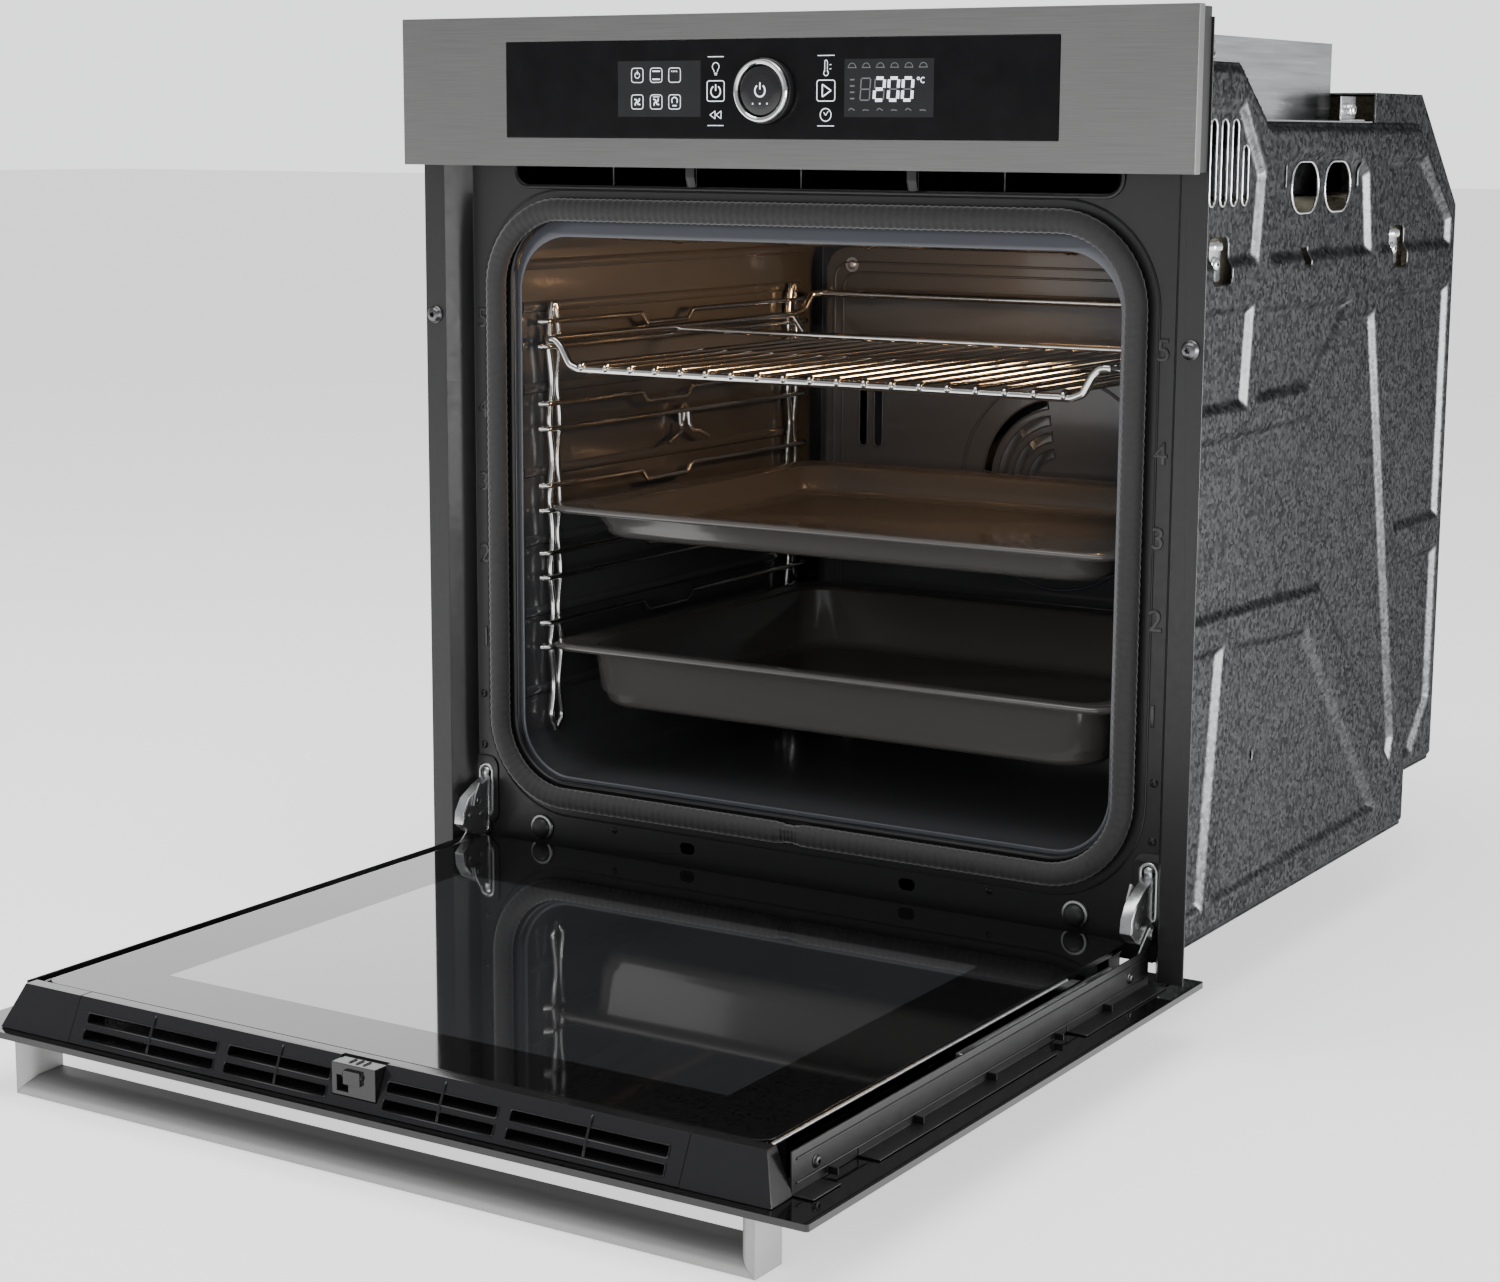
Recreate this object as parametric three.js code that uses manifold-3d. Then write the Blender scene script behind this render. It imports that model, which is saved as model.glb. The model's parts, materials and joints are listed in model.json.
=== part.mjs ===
// A built-in electric oven, its door open: millimetres, +X right, +Y to the rear, +Z up.
// The origin is the middle of the chassis underside, in the plane of the front mounting flanges.
import * as THREE from "three";
import { mergeVertices } from "three/addons/utils/BufferGeometryUtils.js";
import Module from "manifold-3d";

const wasm = await Module();
wasm.setup();

// ---- driving dimensions ----
const frontWidth = 595; // door and fascia, for a 600 mm cabinet
const fasciaTop = 597;
const fasciaBottom = 498;
const frontPlane = -22; // outer face of the fascia, and of the door when it is shut
const chassisWidth = 540;
const chassisRear = 545;
const sheet = 1; // sheet metal thickness
const gap = 0.3; // clearance between neighbouring pieces

const recessFace = 20; // rear face of the step that the door closes into
const flangeInner = 280;
const flangeBottom = -5;
const flangeTop = 590;
const frameTop = 560;

const cavityHalf = 235; // inside half width of the cooking space
const cavityFloor = 60;
const cavityRoof = 462;
const cavityBack = 446;
const openingHalf = 238; // cut-out of the front frame
const openingLow = 58;
const openingHigh = 464;
const openingCorner = 47;

const levels = [152, 203, 252, 311, 370]; // height of the lower runner of each shelf level
const runnerRise = 18; // from a lower runner to its upper one
const runnerX = 224.5;
const wireRadius = 2.2;
const trayFront = 38;
const trayRear = 402;

const fanCentre = 250; // height of the convection fan
const fanPanel = 418; // front face of the panel that covers the fan

const pivotY = 14; // door hinge axis
const pivotZ = 22;
const doorLength = 490;
const glass = 4; // pane thickness
const doorOuterFace = -14; // underside of the open door
const doorHingeEdge = 34;
const doorFrontEdge = doorHingeEdge - doorLength;
const doorInnerFace = 16;
const windowHalf = 256; // inner pane half width
const doorBodyRear = 8;
const trimRear = -428;
const glassTop = doorOuterFace + glass;

const knobZ = 547.5;
const knobRadius = 20.4;

const half = frontWidth / 2;
const side = chassisWidth / 2;

// ---- small tools for solids ----
const group = new THREE.Group();

function solid(geometry) {
  const bare = geometry.index ? geometry.toNonIndexed() : geometry.clone();
  bare.deleteAttribute("normal");
  bare.deleteAttribute("uv");
  const merged = mergeVertices(bare, 1e-4);
  const mesh = new wasm.Mesh({
    numProp: 3,
    vertProperties: merged.attributes.position.array,
    triVerts: new Uint32Array(merged.index.array),
  });
  return new wasm.Manifold(mesh);
}

function fuse(first, ...others) {
  return others.reduce((sum, next) => sum.add(next), first);
}

function cut(body, ...tools) {
  return tools.reduce((rest, tool) => rest.subtract(tool), body);
}

function place(name, body, color, roughness, metalness) {
  const made = body.getMesh();
  const geometry = new THREE.BufferGeometry();
  geometry.setAttribute("position", new THREE.BufferAttribute(new Float32Array(made.vertProperties), 3));
  geometry.setIndex(new THREE.BufferAttribute(new Uint32Array(made.triVerts), 1));
  geometry.computeVertexNormals();
  const mesh = new THREE.Mesh(geometry, new THREE.MeshStandardMaterial({ color, roughness, metalness }));
  mesh.name = name;
  group.add(mesh);
}

// A box between two corners.
function block(x0, x1, y0, y1, z0, z1) {
  const box = new THREE.BoxGeometry(Math.abs(x1 - x0), y1 - y0, z1 - z0);
  box.translate((x0 + x1) / 2, (y0 + y1) / 2, (z0 + z1) / 2);
  return solid(box);
}

function outline(points) {
  return new THREE.Shape(points.map(([a, b]) => new THREE.Vector2(a, b)));
}

function roundedShape(a0, a1, b0, b1, r) {
  const shape = new THREE.Shape();
  shape.moveTo(a0 + r, b0);
  shape.lineTo(a1 - r, b0);
  shape.absarc(a1 - r, b0 + r, r, -Math.PI / 2, 0, false);
  shape.lineTo(a1, b1 - r);
  shape.absarc(a1 - r, b1 - r, r, 0, Math.PI / 2, false);
  shape.lineTo(a0 + r, b1);
  shape.absarc(a0 + r, b1 - r, r, Math.PI / 2, Math.PI, false);
  shape.lineTo(a0, b0 + r);
  shape.absarc(a0 + r, b0 + r, r, Math.PI, 1.5 * Math.PI, false);
  return shape;
}

// A shape drawn in (y, z), swept from x0 to x1.
function alongX(shape, x0, x1, curveSegments = 6) {
  const body = new THREE.ExtrudeGeometry(shape, { depth: x1 - x0, bevelEnabled: false, curveSegments });
  const turn = new THREE.Matrix4().makeBasis(
    new THREE.Vector3(0, 1, 0), new THREE.Vector3(0, 0, 1), new THREE.Vector3(1, 0, 0));
  body.applyMatrix4(turn);
  body.translate(x0, 0, 0);
  return solid(body);
}

// A shape drawn in (x, z), swept from y0 to y1.
function alongY(shape, y0, y1, curveSegments = 6) {
  const body = new THREE.ExtrudeGeometry(shape, { depth: y1 - y0, bevelEnabled: false, curveSegments });
  body.rotateX(Math.PI / 2);
  body.translate(0, y1, 0);
  return solid(body);
}

// A shape drawn in (x, y), swept from z0 to z1.
function alongZ(shape, z0, z1, curveSegments = 6) {
  const body = new THREE.ExtrudeGeometry(shape, { depth: z1 - z0, bevelEnabled: false, curveSegments });
  body.translate(0, 0, z0);
  return solid(body);
}

// A round bar along one axis, from a low to a high value on that axis.
function bar(axis, low, high, [a, b], radius, sides = 16) {
  const rod = new THREE.CylinderGeometry(radius, radius, high - low, sides);
  const middle = (low + high) / 2;
  if (axis === "x") rod.rotateZ(Math.PI / 2).translate(middle, a, b);
  if (axis === "y") rod.translate(a, middle, b);
  if (axis === "z") rod.rotateX(Math.PI / 2).translate(a, b, middle);
  return solid(rod);
}

// A lathed body whose profile is [radius, height along the axis], turned about +Y or +Z.
function turned(profile, axis, [x, y, z], segments = 24) {
  const points = profile.map(([r, h]) => new THREE.Vector2(r, h));
  if (THREE.ShapeUtils.area(points) < 0) points.reverse();
  const body = new THREE.LatheGeometry(points, segments);
  if (axis === "z") body.rotateX(Math.PI / 2);
  body.translate(x, y, z);
  return solid(body);
}

// A bent wire: a path of straight runs whose points are the bends.
class WirePath extends THREE.Curve {
  constructor(points) {
    super();
    this.points = points.map((p) => new THREE.Vector3(...p));
  }
  getPoint(t, target = new THREE.Vector3()) {
    const along = t * (this.points.length - 1);
    const i = Math.min(Math.floor(along), this.points.length - 2);
    return target.lerpVectors(this.points[i], this.points[i + 1], along - i);
  }
  getUtoTmapping(u) {
    return u;
  }
  getTangent(t, target = new THREE.Vector3()) {
    const at = Math.round(t * (this.points.length - 1));
    const before = this.points[Math.max(at - 1, 0)];
    const here = this.points[at];
    const after = this.points[Math.min(at + 1, this.points.length - 1)];
    const incoming = here.clone().sub(before).normalize();
    const outgoing = after.clone().sub(here).normalize();
    return target.copy(incoming).add(outgoing).normalize();
  }
}

function disc(radius, sides) {
  const points = [];
  for (let i = 0; i < sides; i++) {
    const angle = (2 * Math.PI * i) / sides;
    points.push([radius * Math.cos(angle), radius * Math.sin(angle)]);
  }
  return outline(points);
}

function wire(points, radius, sides = 6) {
  const path = new WirePath(points);
  const options = { steps: points.length - 1, extrudePath: path, bevelEnabled: false };
  return solid(new THREE.ExtrudeGeometry(disc(radius, sides), options));
}

// The mirror image of a body in the plane x = 0.
function mirrored(body) {
  return body.mirror([1, 0, 0]);
}

// Places a piece made for the right-hand side on both sides.
function placePair(name, body, color, roughness, metalness) {
  place("right_" + name, body, color, roughness, metalness);
  place("left_" + name, mirrored(body), color, roughness, metalness);
}

function slotZ(y, z0, z1, width) {
  return roundedShape(y - width / 2, y + width / 2, z0, z1, width / 2 - 0.01);
}

// ---- chassis ----
const sideTop = 530;
const sideFrontTop = 566;
const sideRear = 531;
const rearStep = 41;
const rearStepStart = 473;

// Its front lip passes under the front frame, just past the plane of the flanges.
function basePlate() {
  const front = recessFace + sheet + 1;
  const lipFront = -2;
  const lipReach = 200;
  const profile = [
    [front, 0], [rearStepStart, 0], [rearStepStart, rearStep], [chassisRear - 4, rearStep],
    [chassisRear - 4, rearStep + sheet], [rearStepStart - sheet, rearStep + sheet],
    [rearStepStart - sheet, sheet], [front, sheet],
  ];
  const plate = alongX(outline(profile), -side + 3, side - 3);
  const wallHeight = 14;
  const walls = [-1, 1].map((s) => {
    const x = s * (side - 3.5);
    return block(x - 0.5, x + 0.5, front, rearStepStart, 0, wallHeight);
  });
  const lip = block(-lipReach, lipReach, lipFront, front + 1, 0, sheet);
  return fuse(plate, lip, ...walls);
}

// A raised bead on the outside of the right-hand panel, between two points given as [y, z].
function bead([y0, z0], [y1, z1], width = 16, height = 3) {
  const length = Math.hypot(y1 - y0, z1 - z0);
  const ridge = outline([[-width / 2, -0.5], [width / 2, -0.5], [width / 5, height], [-width / 5, height]]);
  const body = new THREE.ExtrudeGeometry(ridge, { depth: length, bevelEnabled: false });
  const along = new THREE.Vector3(0, (y1 - y0) / length, (z1 - z0) / length);
  const out = new THREE.Vector3(1, 0, 0);
  body.applyMatrix4(new THREE.Matrix4().makeBasis(out.clone().cross(along), out, along));
  body.translate(side, y0, z0);
  return solid(body);
}

function sidePanel() {
  const front = recessFace + sheet + 1;
  const edge = outline([
    [front, 0], [rearStepStart, 0], [rearStepStart, rearStep], [sideRear, rearStep],
    [sideRear, 460], [445, sideTop], [156, sideTop], [107, sideFrontTop], [front, sideFrontTop],
  ]);
  const plate = alongX(edge, side - sheet, side);
  const through = (shape, segments) => alongX(shape, side - 5, side + 8, segments);
  const vents = [];
  for (let i = 0; i < 5; i++) vents.push(through(slotZ(34 + 17.3 * i, 477, 531, 9), 2));
  vents.push(through(slotZ(121, 477, 515, 9), 2));
  const cables = [225, 285].map((y) => through(roundedShape(y - 24, y + 24, 470, 504, 16.9), 4));
  const clips = [83, 408].map((y) => through(roundedShape(y - 16, y + 16, 428, 458, 4), 1));
  const ribs = [
    bead([146, 512], [140, 436], 22), bead([336, 500], [352, 436], 20),
    bead([34, 428], [520, 428], 8, 2), bead([135, 405], [130, 352], 20),
    bead([325, 402], [238, 350], 16), bead([34, 346], [258, 346], 8, 2),
    bead([366, 390], [428, 60], 20), bead([430, 222], [522, 222], 8, 2),
    bead([140, 200], [250, 188], 8, 2), bead([262, 184], [410, 24], 20),
    bead([112, 186], [94, 24], 16), bead([508, 420], [508, 70], 12),
  ];
  return cut(fuse(plate, ...ribs), ...vents, ...cables, ...clips);
}

function rearCover() {
  const skin = 1.2;
  const reach = side - 2.5;
  const rim = outline([
    [361, 551], [458, 551], [chassisRear, 470], [chassisRear, rearStep + 2],
    [523, rearStep + 2], [523, 461], [449, 529], [361, 529],
  ]);
  const inside = outline([
    [360, 551 - skin], [457.5, 551 - skin], [chassisRear - skin, 469.5], [chassisRear - skin, 30],
    [500, 30], [500, 461], [449, 520], [360, 520],
  ]);
  const shell = cut(alongX(rim, -reach, reach), alongX(inside, -reach + skin, reach - skin));
  const louvres = [];
  for (let i = 0; i < 6; i++) {
    const z = 330 + 14 * i;
    louvres.push(block(-90, 90, chassisRear - 5, chassisRear + 1, z, z + 5));
  }
  const inletWindow = block(150, 210, chassisRear - 5, chassisRear + 1, 436, 466);
  return cut(shell, ...louvres, inletWindow);
}

const topCoverHalf = 235;
const topCoverTop = 585;

function topCover() {
  const rear = 357;
  const outer = outline([
    [-topCoverHalf, sideTop + 1], [-topCoverHalf, topCoverTop], [topCoverHalf, topCoverTop],
    [topCoverHalf, sideTop + 1], [side - 3, sideTop + 1], [side - 3, sideTop], [topCoverHalf - 1, sideTop],
    [topCoverHalf - 1, topCoverTop - 1], [1 - topCoverHalf, topCoverTop - 1], [1 - topCoverHalf, sideTop],
    [3 - side, sideTop], [3 - side, sideTop + 1],
  ].reverse());
  const channel = alongY(outer, 22.5, rear);
  const back = block(-topCoverHalf, topCoverHalf, rear - 1, rear, sideTop, topCoverTop);
  return fuse(channel, back);
}

// A folded tab that ties the top cover to a side panel, with its screw head.
function topBracket(y, height) {
  const tab = block(side - 12, side - 11, y - 14, y + 14, sideTop + 1 + gap, height);
  const foot = block(side - 12, side - 4, y - 14, y + 14, sideTop + 1 + gap, sideTop + 2.3);
  const screw = bar("x", side - 11.5, side - 8, [y, height - 9], 4, 10);
  return fuse(tab, foot, screw);
}

// ---- front frame, seal and cavity ----
const outletLow = 483;
const outletHigh = 512;
const outletHalf = 233;
const hingeX = 263.5; // middle plane of each hinge

function frontFrame() {
  const wall = outline([
    [flangeInner, 0], [half, 0], [half, sheet], [flangeInner + 0.6, sheet],
    [side + sheet, recessFace + sheet], [side, recessFace + sheet], [side, recessFace],
  ]);
  const right = alongZ(wall, flangeBottom, flangeTop);
  const face = block(-side - 0.5, side + 0.5, recessFace, recessFace + sheet, sheet + gap, frameTop);
  const through = (shape, segments) => alongY(shape, recessFace - 4, recessFace + 4, segments);
  const opening = through(
    roundedShape(-openingHalf, openingHalf, openingLow, openingHigh, openingCorner), 6);
  const outlet = through(roundedShape(-outletHalf, outletHalf, outletLow, outletHigh, 12), 3);
  const bars = [-85, 85].map((x) => block(x - 4, x + 4, recessFace, recessFace + sheet, 480, 515));
  const cuts = [];
  for (const s of [-1, 1]) {
    cuts.push(through(roundedShape(s * hingeX - 6, s * hingeX + 6, 26, 66, 5.9), 3));
    cuts.push(through(roundedShape(s * 88 - 6, s * 88 + 6, 22, 30, 3.5), 2));
    cuts.push(bar("y", -3, 3, [s * 289, 393], 3, 12));
  }
  const plate = fuse(cut(fuse(face, right, mirrored(right)), opening, outlet, ...cuts), ...bars);
  return plate;
}

function doorGasket() {
  const front = 8.6;
  const back = recessFace - gap;
  const outer = roundedShape(-254, 254, 42, 476, 63);
  const inner = roundedShape(-openingHalf, openingHalf, openingLow, openingHigh, openingCorner);
  return cut(alongY(outer, front, back, 5), alongY(inner, front - 1, back + 1, 5));
}

function cavityLiner() {
  const skin = 1.2;
  const front = recessFace + sheet + gap;
  const ring = (grow, y0, y1, r) => alongY(roundedShape(-cavityHalf - grow, cavityHalf + grow,
    cavityFloor - grow, cavityRoof + grow, r), y0, y1, 4);
  const shell = cut(ring(skin, front, cavityBack + skin, 30), ring(0, front - 1, cavityBack, 29));
  const flange = cut(ring(10, front, front + skin, 40), ring(0, front - 1, front + 3, 29));
  const shaftHole = bar("y", cavityBack - 3, cavityBack + 4, [0, fanCentre], 10, 16);
  const legs = [-8, 8].map((x) => bar("y", cavityBack - 3, cavityBack + 4, [x, fanCentre - 92], 4.2, 8));
  const grillLegs = [-30, 30].map((x) => bar("y", cavityBack - 3, cavityBack + 4, [x, grillZ], 4.2, 8));
  const lampHole = bar("y", cavityBack - 3, cavityBack + 4, [lampX, lampZ], 19, 14);
  return cut(fuse(shell, flange), shaftHole, lampHole, ...legs, ...grillLegs);
}

function insulationBlanket() {
  const outer = roundedShape(-262, 262, 31, 479.5, 30);
  const inner = roundedShape(-cavityHalf - 3, cavityHalf + 3, bottomHeaterZ - 6, cavityRoof + 3, 30);
  return cut(alongY(outer, 52, 444, 4), alongY(inner, 50, 446, 4));
}

// ---- heating and convection ----
const grillZ = 448;
const bottomHeaterZ = 52.5;
const lampX = 178;
const lampZ = 402;

function grillHeater() {
  const front = 90;
  const back = 380;
  const reach = 190;
  const points = [[-30, cavityBack + 14, grillZ], [-30, back, grillZ], [-reach, back, grillZ]];
  points.push([-reach, front, grillZ], [-120, front, grillZ], [-120, back - 40, grillZ]);
  points.push([-50, back - 40, grillZ], [-50, front, grillZ], [50, front, grillZ]);
  points.push([50, back - 40, grillZ], [120, back - 40, grillZ], [120, front, grillZ]);
  points.push([reach, front, grillZ], [reach, back, grillZ], [30, back, grillZ]);
  points.push([30, cavityBack + 14, grillZ]);
  return wire(points, 3.2, 8);
}

function bottomHeater() {
  const z = bottomHeaterZ;
  const points = [[-60, 440, z], [-60, 400, z], [-180, 400, z], [-180, 90, z], [-70, 90, z]];
  points.push([-70, 340, z], [70, 340, z], [70, 90, z], [180, 90, z], [180, 400, z], [60, 400, z]);
  points.push([60, 440, z]);
  return wire(points, 3.2, 8);
}

function ringHeater() {
  const radius = 92;
  const y = 434;
  const points = [[-8, cavityBack + 14, fanCentre - radius], [-8, y, fanCentre - radius]];
  const turns = 22;
  const start = Math.asin(8 / radius);
  for (let i = 1; i < turns; i++) {
    const angle = start + ((2 * Math.PI - 2 * start) * i) / turns;
    points.push([-radius * Math.sin(angle), y, fanCentre - radius * Math.cos(angle)]);
  }
  points.push([8, y, fanCentre - radius], [8, cavityBack + 14, fanCentre - radius]);
  return wire(points, 3.2, 8);
}

function fanBlade() {
  const hub = turned([[4.5, 0], [12, 0], [12, 9], [4.5, 9], [4.5, 0]], "y", [0, 425, fanCentre], 20);
  const plate = turned([[11, 6], [62, 6], [62, 7.2], [11, 7.2], [11, 6]], "y", [0, 425, fanCentre], 24);
  const vanes = [];
  for (let i = 0; i < 8; i++) {
    const vane = new THREE.BoxGeometry(30, 9, 1.2).translate(46, 2.5, 0);
    vane.rotateY((i * Math.PI) / 4).translate(0, 425, fanCentre);
    vanes.push(solid(vane));
  }
  return fuse(hub, plate, ...vanes);
}

function fanMotor() {
  const can = bar("y", cavityBack + 12, 500, [0, fanCentre], 36, 20);
  const plate = block(-45, 45, cavityBack + 3, cavityBack + 5, fanCentre - 45, fanCentre + 45);
  const neck = bar("y", cavityBack + 4, cavityBack + 13, [0, fanCentre], 20, 16);
  const shaft = bar("y", 423, cavityBack + 4, [0, fanCentre], 4, 12);
  return fuse(can, plate, neck, shaft);
}

// A curved air slot of the fan panel, centred at a distance from the fan's axis.
function fanSlot(radius, from, to, width) {
  const shape = new THREE.Shape();
  shape.absarc(0, 0, radius + width / 2, from, to, false);
  shape.absarc(0, 0, radius - width / 2, to, from, true);
  return shape;
}

function fanCover() {
  const reach = 214;
  const low = 76;
  const high = 430;
  const back = cavityBack - gap;
  const shape = (grow) => roundedShape(-reach + grow, reach - grow, low + grow, high - grow, 20 - grow);
  const pan = cut(alongY(shape(0), fanPanel, back, 4), alongY(shape(1.2), fanPanel + 1.2, back + 1, 4));
  const cuts = [];
  const degree = Math.PI / 180;
  for (const s of [0, 1]) {
    for (let i = 0; i < 4; i++) {
      const start = 100 + 180 * s;
      const slot = fanSlot(24 + 13 * i, start * degree, (start + 75) * degree, 7);
      const tool = new THREE.ExtrudeGeometry(slot, { depth: 6, bevelEnabled: false, curveSegments: 4 });
      tool.rotateX(Math.PI / 2).translate(0, fanPanel + 4, fanCentre);
      cuts.push(solid(tool));
    }
  }
  for (const x of [-178, -164, 164, 178]) {
    for (const z of [190, 270]) cuts.push(block(x - 3.5, x + 3.5, fanPanel - 2, fanPanel + 4, z, z + 50));
  }
  cuts.push(bar("y", fanPanel - 2, back + 2, [lampX, lampZ], 25.5, 16));
  return cut(pan, ...cuts);
}

function ovenLamp() {
  const dome = [[0, 0], [9, 1.5], [15, 6], [17.5, 12], [18, 36], [24, 36], [24, 40], [0, 40]];
  return turned(dome, "y", [lampX, cavityBack - 34.5, lampZ], 20);
}

// ---- shelves ----
function shelfRack() {
  const standX = runnerX + 3.6;
  const low = 94;
  const high = 400;
  const parts = [];
  for (const y of [58, 387]) {
    for (const s of [-1, 1]) parts.push(bar("z", low, high, [standX, y + s * 5], wireRadius, 4));
    for (const z of [low + 3, high - 3]) parts.push(bar("y", y - 5, y + 5, [standX, z], wireRadius, 4));
  }
  for (const z of levels) {
    for (const rise of [0, runnerRise]) parts.push(bar("y", 44, 404, [runnerX, z + rise], wireRadius, 4));
  }
  const loopZ = 293;
  const loop = [[runnerX, 218, levels[3] - 1], [runnerX + 5, 218, loopZ]];
  loop.push([runnerX + 5, 240, loopZ], [runnerX, 240, levels[3] - 1]);
  parts.push(wire(loop, wireRadius));
  return fuse(...parts);
}

const shelfZ = levels[4] + 2 * wireRadius + 1.4 + gap;

function wireShelf() {
  const railX = 222;
  const railRadius = 3;
  const rodRadius = 2;
  const low = shelfZ - 20;
  const backHigh = shelfZ + 17;
  const halfLoop = (s) => [
    [s * 192, trayFront, low], [s * 200, trayFront, low + 4], [s * 206, trayFront, shelfZ - 5],
    [s * 213, trayFront, shelfZ], [s * (railX - 4), trayFront, shelfZ], [s * railX, trayFront + 5, shelfZ],
    [s * railX, trayRear - 26, shelfZ], [s * (railX - 5.5), trayRear - 16, shelfZ + 4],
    [s * (railX - 6.5), trayRear - 6, backHigh], [s * (railX - 12), trayRear, backHigh],
  ];
  const right = halfLoop(1);
  const loop = [[0, trayFront, low], ...right, [0, trayRear, backHigh]];
  const mirror = loop.map(([x, y, z]) => [-x, y, z]);
  const parts = [wire(loop, railRadius, 6), wire(mirror, railRadius, 6)];
  const rearBar = trayRear - 24;
  parts.push(wire([[-railX, rearBar, shelfZ], [-206, rearBar, low + 1], [206, rearBar, low + 1],
    [railX, rearBar, shelfZ]], railRadius, 6));
  const rods = 19;
  const pitch = 376 / (rods - 1);
  for (let i = 0; i < rods; i++) {
    const x = -188 + pitch * i;
    parts.push(bar("y", trayFront - 2, rearBar + 4, [x, low + 3.8], rodRadius, 5));
  }
  parts.push(bar("x", -railX, railX, [210, shelfZ - 2], 2.4, 6));
  return fuse(...parts);
}

// An open tray with a flat rim that rides on a pair of runners.
function tray(rimZ, depth) {
  const skin = 1;
  const rimHalf = 225.4;
  const bowlHalf = 206;
  const bottom = rimZ - depth;
  const taper = 6;
  const rimWidth = 14;
  const lower = new THREE.Vector2(bowlHalf - taper, trayRear - rimWidth - taper);
  const bowl = (grow, top, floor) => {
    const a = lower.x + grow;
    return alongZ(roundedShape(-a, a, trayFront + rimWidth + taper - grow, lower.y + grow, 22), floor, top, 4);
  };
  const rim = alongZ(roundedShape(-rimHalf, rimHalf, trayFront, trayRear, 16), rimZ, rimZ + 2.4, 4);
  const shell = fuse(rim, bowl(skin, rimZ + 1, bottom));
  const hollow = bowl(0, rimZ + 4, bottom + skin);
  const skirtHalf = rimHalf - 22;
  const skirt = block(-skirtHalf, skirtHalf, trayFront, trayFront + 3, rimZ - 5, rimZ + 1);
  return cut(fuse(shell, skirt), hollow);
}

// ---- cooling ----
const blowerY = 270;

function airChannel() {
  const y0 = recessFace + sheet + gap;
  const y1 = 384;
  const floor = 481;
  const outer = block(-outletHalf - 3, outletHalf + 3, y0, y1, floor, 514);
  const inner = block(-outletHalf - 2, outletHalf + 2, y0 - 1, y1 - 1, floor + 1, 513);
  const intake = bar("z", 510, 517, [0, blowerY], 62, 20);
  const ribs = [-150, 0, 150].map((x) => block(x - 0.6, x + 0.6, y0, 190, floor + 0.5, 513.5));
  return fuse(cut(outer, inner, intake), ...ribs);
}

function blowerHousing() {
  const wall = [[78, 0], [80, 0], [80, 46], [34, 46], [34, 44.5], [78, 44.5], [78, 0]];
  const foot = [[79, 0], [92, 0], [92, 1.2], [79, 1.2], [79, 0]];
  return fuse(turned(wall, "z", [0, blowerY, 514.3], 20), turned(foot, "z", [0, blowerY, 514.3], 20));
}

function blowerWheel() {
  const centre = [0, blowerY, 520];
  const plate = turned([[0, 0], [64, 0], [64, 1.5], [6, 1.5], [6, 40], [0, 40]], "z", centre, 20);
  const rim = turned([[60, 30], [64, 30], [64, 31.5], [60, 31.5], [60, 30]], "z", centre, 20);
  const vanes = [];
  const count = 12;
  for (let i = 0; i < count; i++) {
    const vane = new THREE.BoxGeometry(12, 1.4, 30.5).translate(57, 0, 15.75);
    vane.rotateZ((2 * Math.PI * i) / count).translate(...centre);
    vanes.push(solid(vane));
  }
  return fuse(plate, rim, ...vanes);
}

function blowerMotor() {
  const z = 560.6;
  const can = bar("z", z, z + 21, [0, blowerY], 30, 20);
  const strap = block(-60, 60, blowerY - 8, blowerY + 8, z, z + 1.6);
  const bore = bar("z", z - 1, z + 4, [0, blowerY], 7, 16);
  return cut(fuse(can, strap), bore);
}

// ---- supply ----
function terminalBlock() {
  const body = block(152, 208, 524, 541, 438, 464);
  const screws = [];
  for (let i = 0; i < 5; i++) {
    screws.push(bar("y", 540, 544, [160 + 10 * i, 451], 3.2, 10));
  }
  const tongue = block(156, 204, 520, 541, 430, 439);
  return fuse(body, tongue, ...screws);
}

// ---- control panel ----
const panelHalf = 208;
const panelLow = 517;
const panelHigh = 580.5;

function controlFascia() {
  const skin = 1.2;
  const depth = 8;
  const shell = block(-half, half, frontPlane, frontPlane + depth, fasciaBottom, fasciaTop);
  const inside = block(-half + skin, half - skin, frontPlane + skin, frontPlane + depth + 1,
    fasciaBottom + skin, fasciaTop - skin);
  const window = block(-panelHalf, panelHalf, frontPlane - 1, frontPlane + 3, panelLow, panelHigh);
  return cut(shell, inside, window);
}

function fasciaCarrier() {
  const edge = half - 1.5;
  const body = block(-edge, edge, frontPlane + 8 + gap, -gap, fasciaBottom + 1, fasciaTop - 1);
  const pocket = block(-216, 216, frontPlane + 7, 1, panelLow - 6, panelHigh + 6);
  const lighten = [-1, 1].map((s) => block(s * 256 - 32, s * 256 + 32, -10, 1, panelLow - 6, panelHigh + 6));
  const foot = [-1, 1].map((s) => block(s * 256 - 8, s * 256 + 8, -10.5, -gap, panelLow - 7, panelHigh + 7));
  return fuse(cut(body, pocket, ...lighten), ...foot);
}

function controlGlass() {
  const pane = block(-panelHalf + gap, panelHalf - gap, frontPlane - 0.4, frontPlane + 2.6,
    panelLow + gap, panelHigh - gap);
  return cut(pane, bar("y", frontPlane - 3, frontPlane + 5, [0, knobZ], knobRadius + 0.8, 36));
}

function display(x0, x1) {
  const low = 531;
  const high = 567;
  return block(x0, x1, frontPlane + 3, frontPlane + 6.5, low, high);
}

function controlBoard() {
  const board = block(-190, 190, -9, -7.4, 520, 577);
  const relay = [-150, -110, 110, 150].map((x) => block(x - 12, x + 12, -7.6, 8, 528, 560));
  const encoder = cut(bar("y", -14.5, -8, [0, knobZ], 20, 24), bar("y", -16, -9.5, [0, knobZ], 16.9, 24));
  return fuse(board, encoder, ...relay);
}

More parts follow.
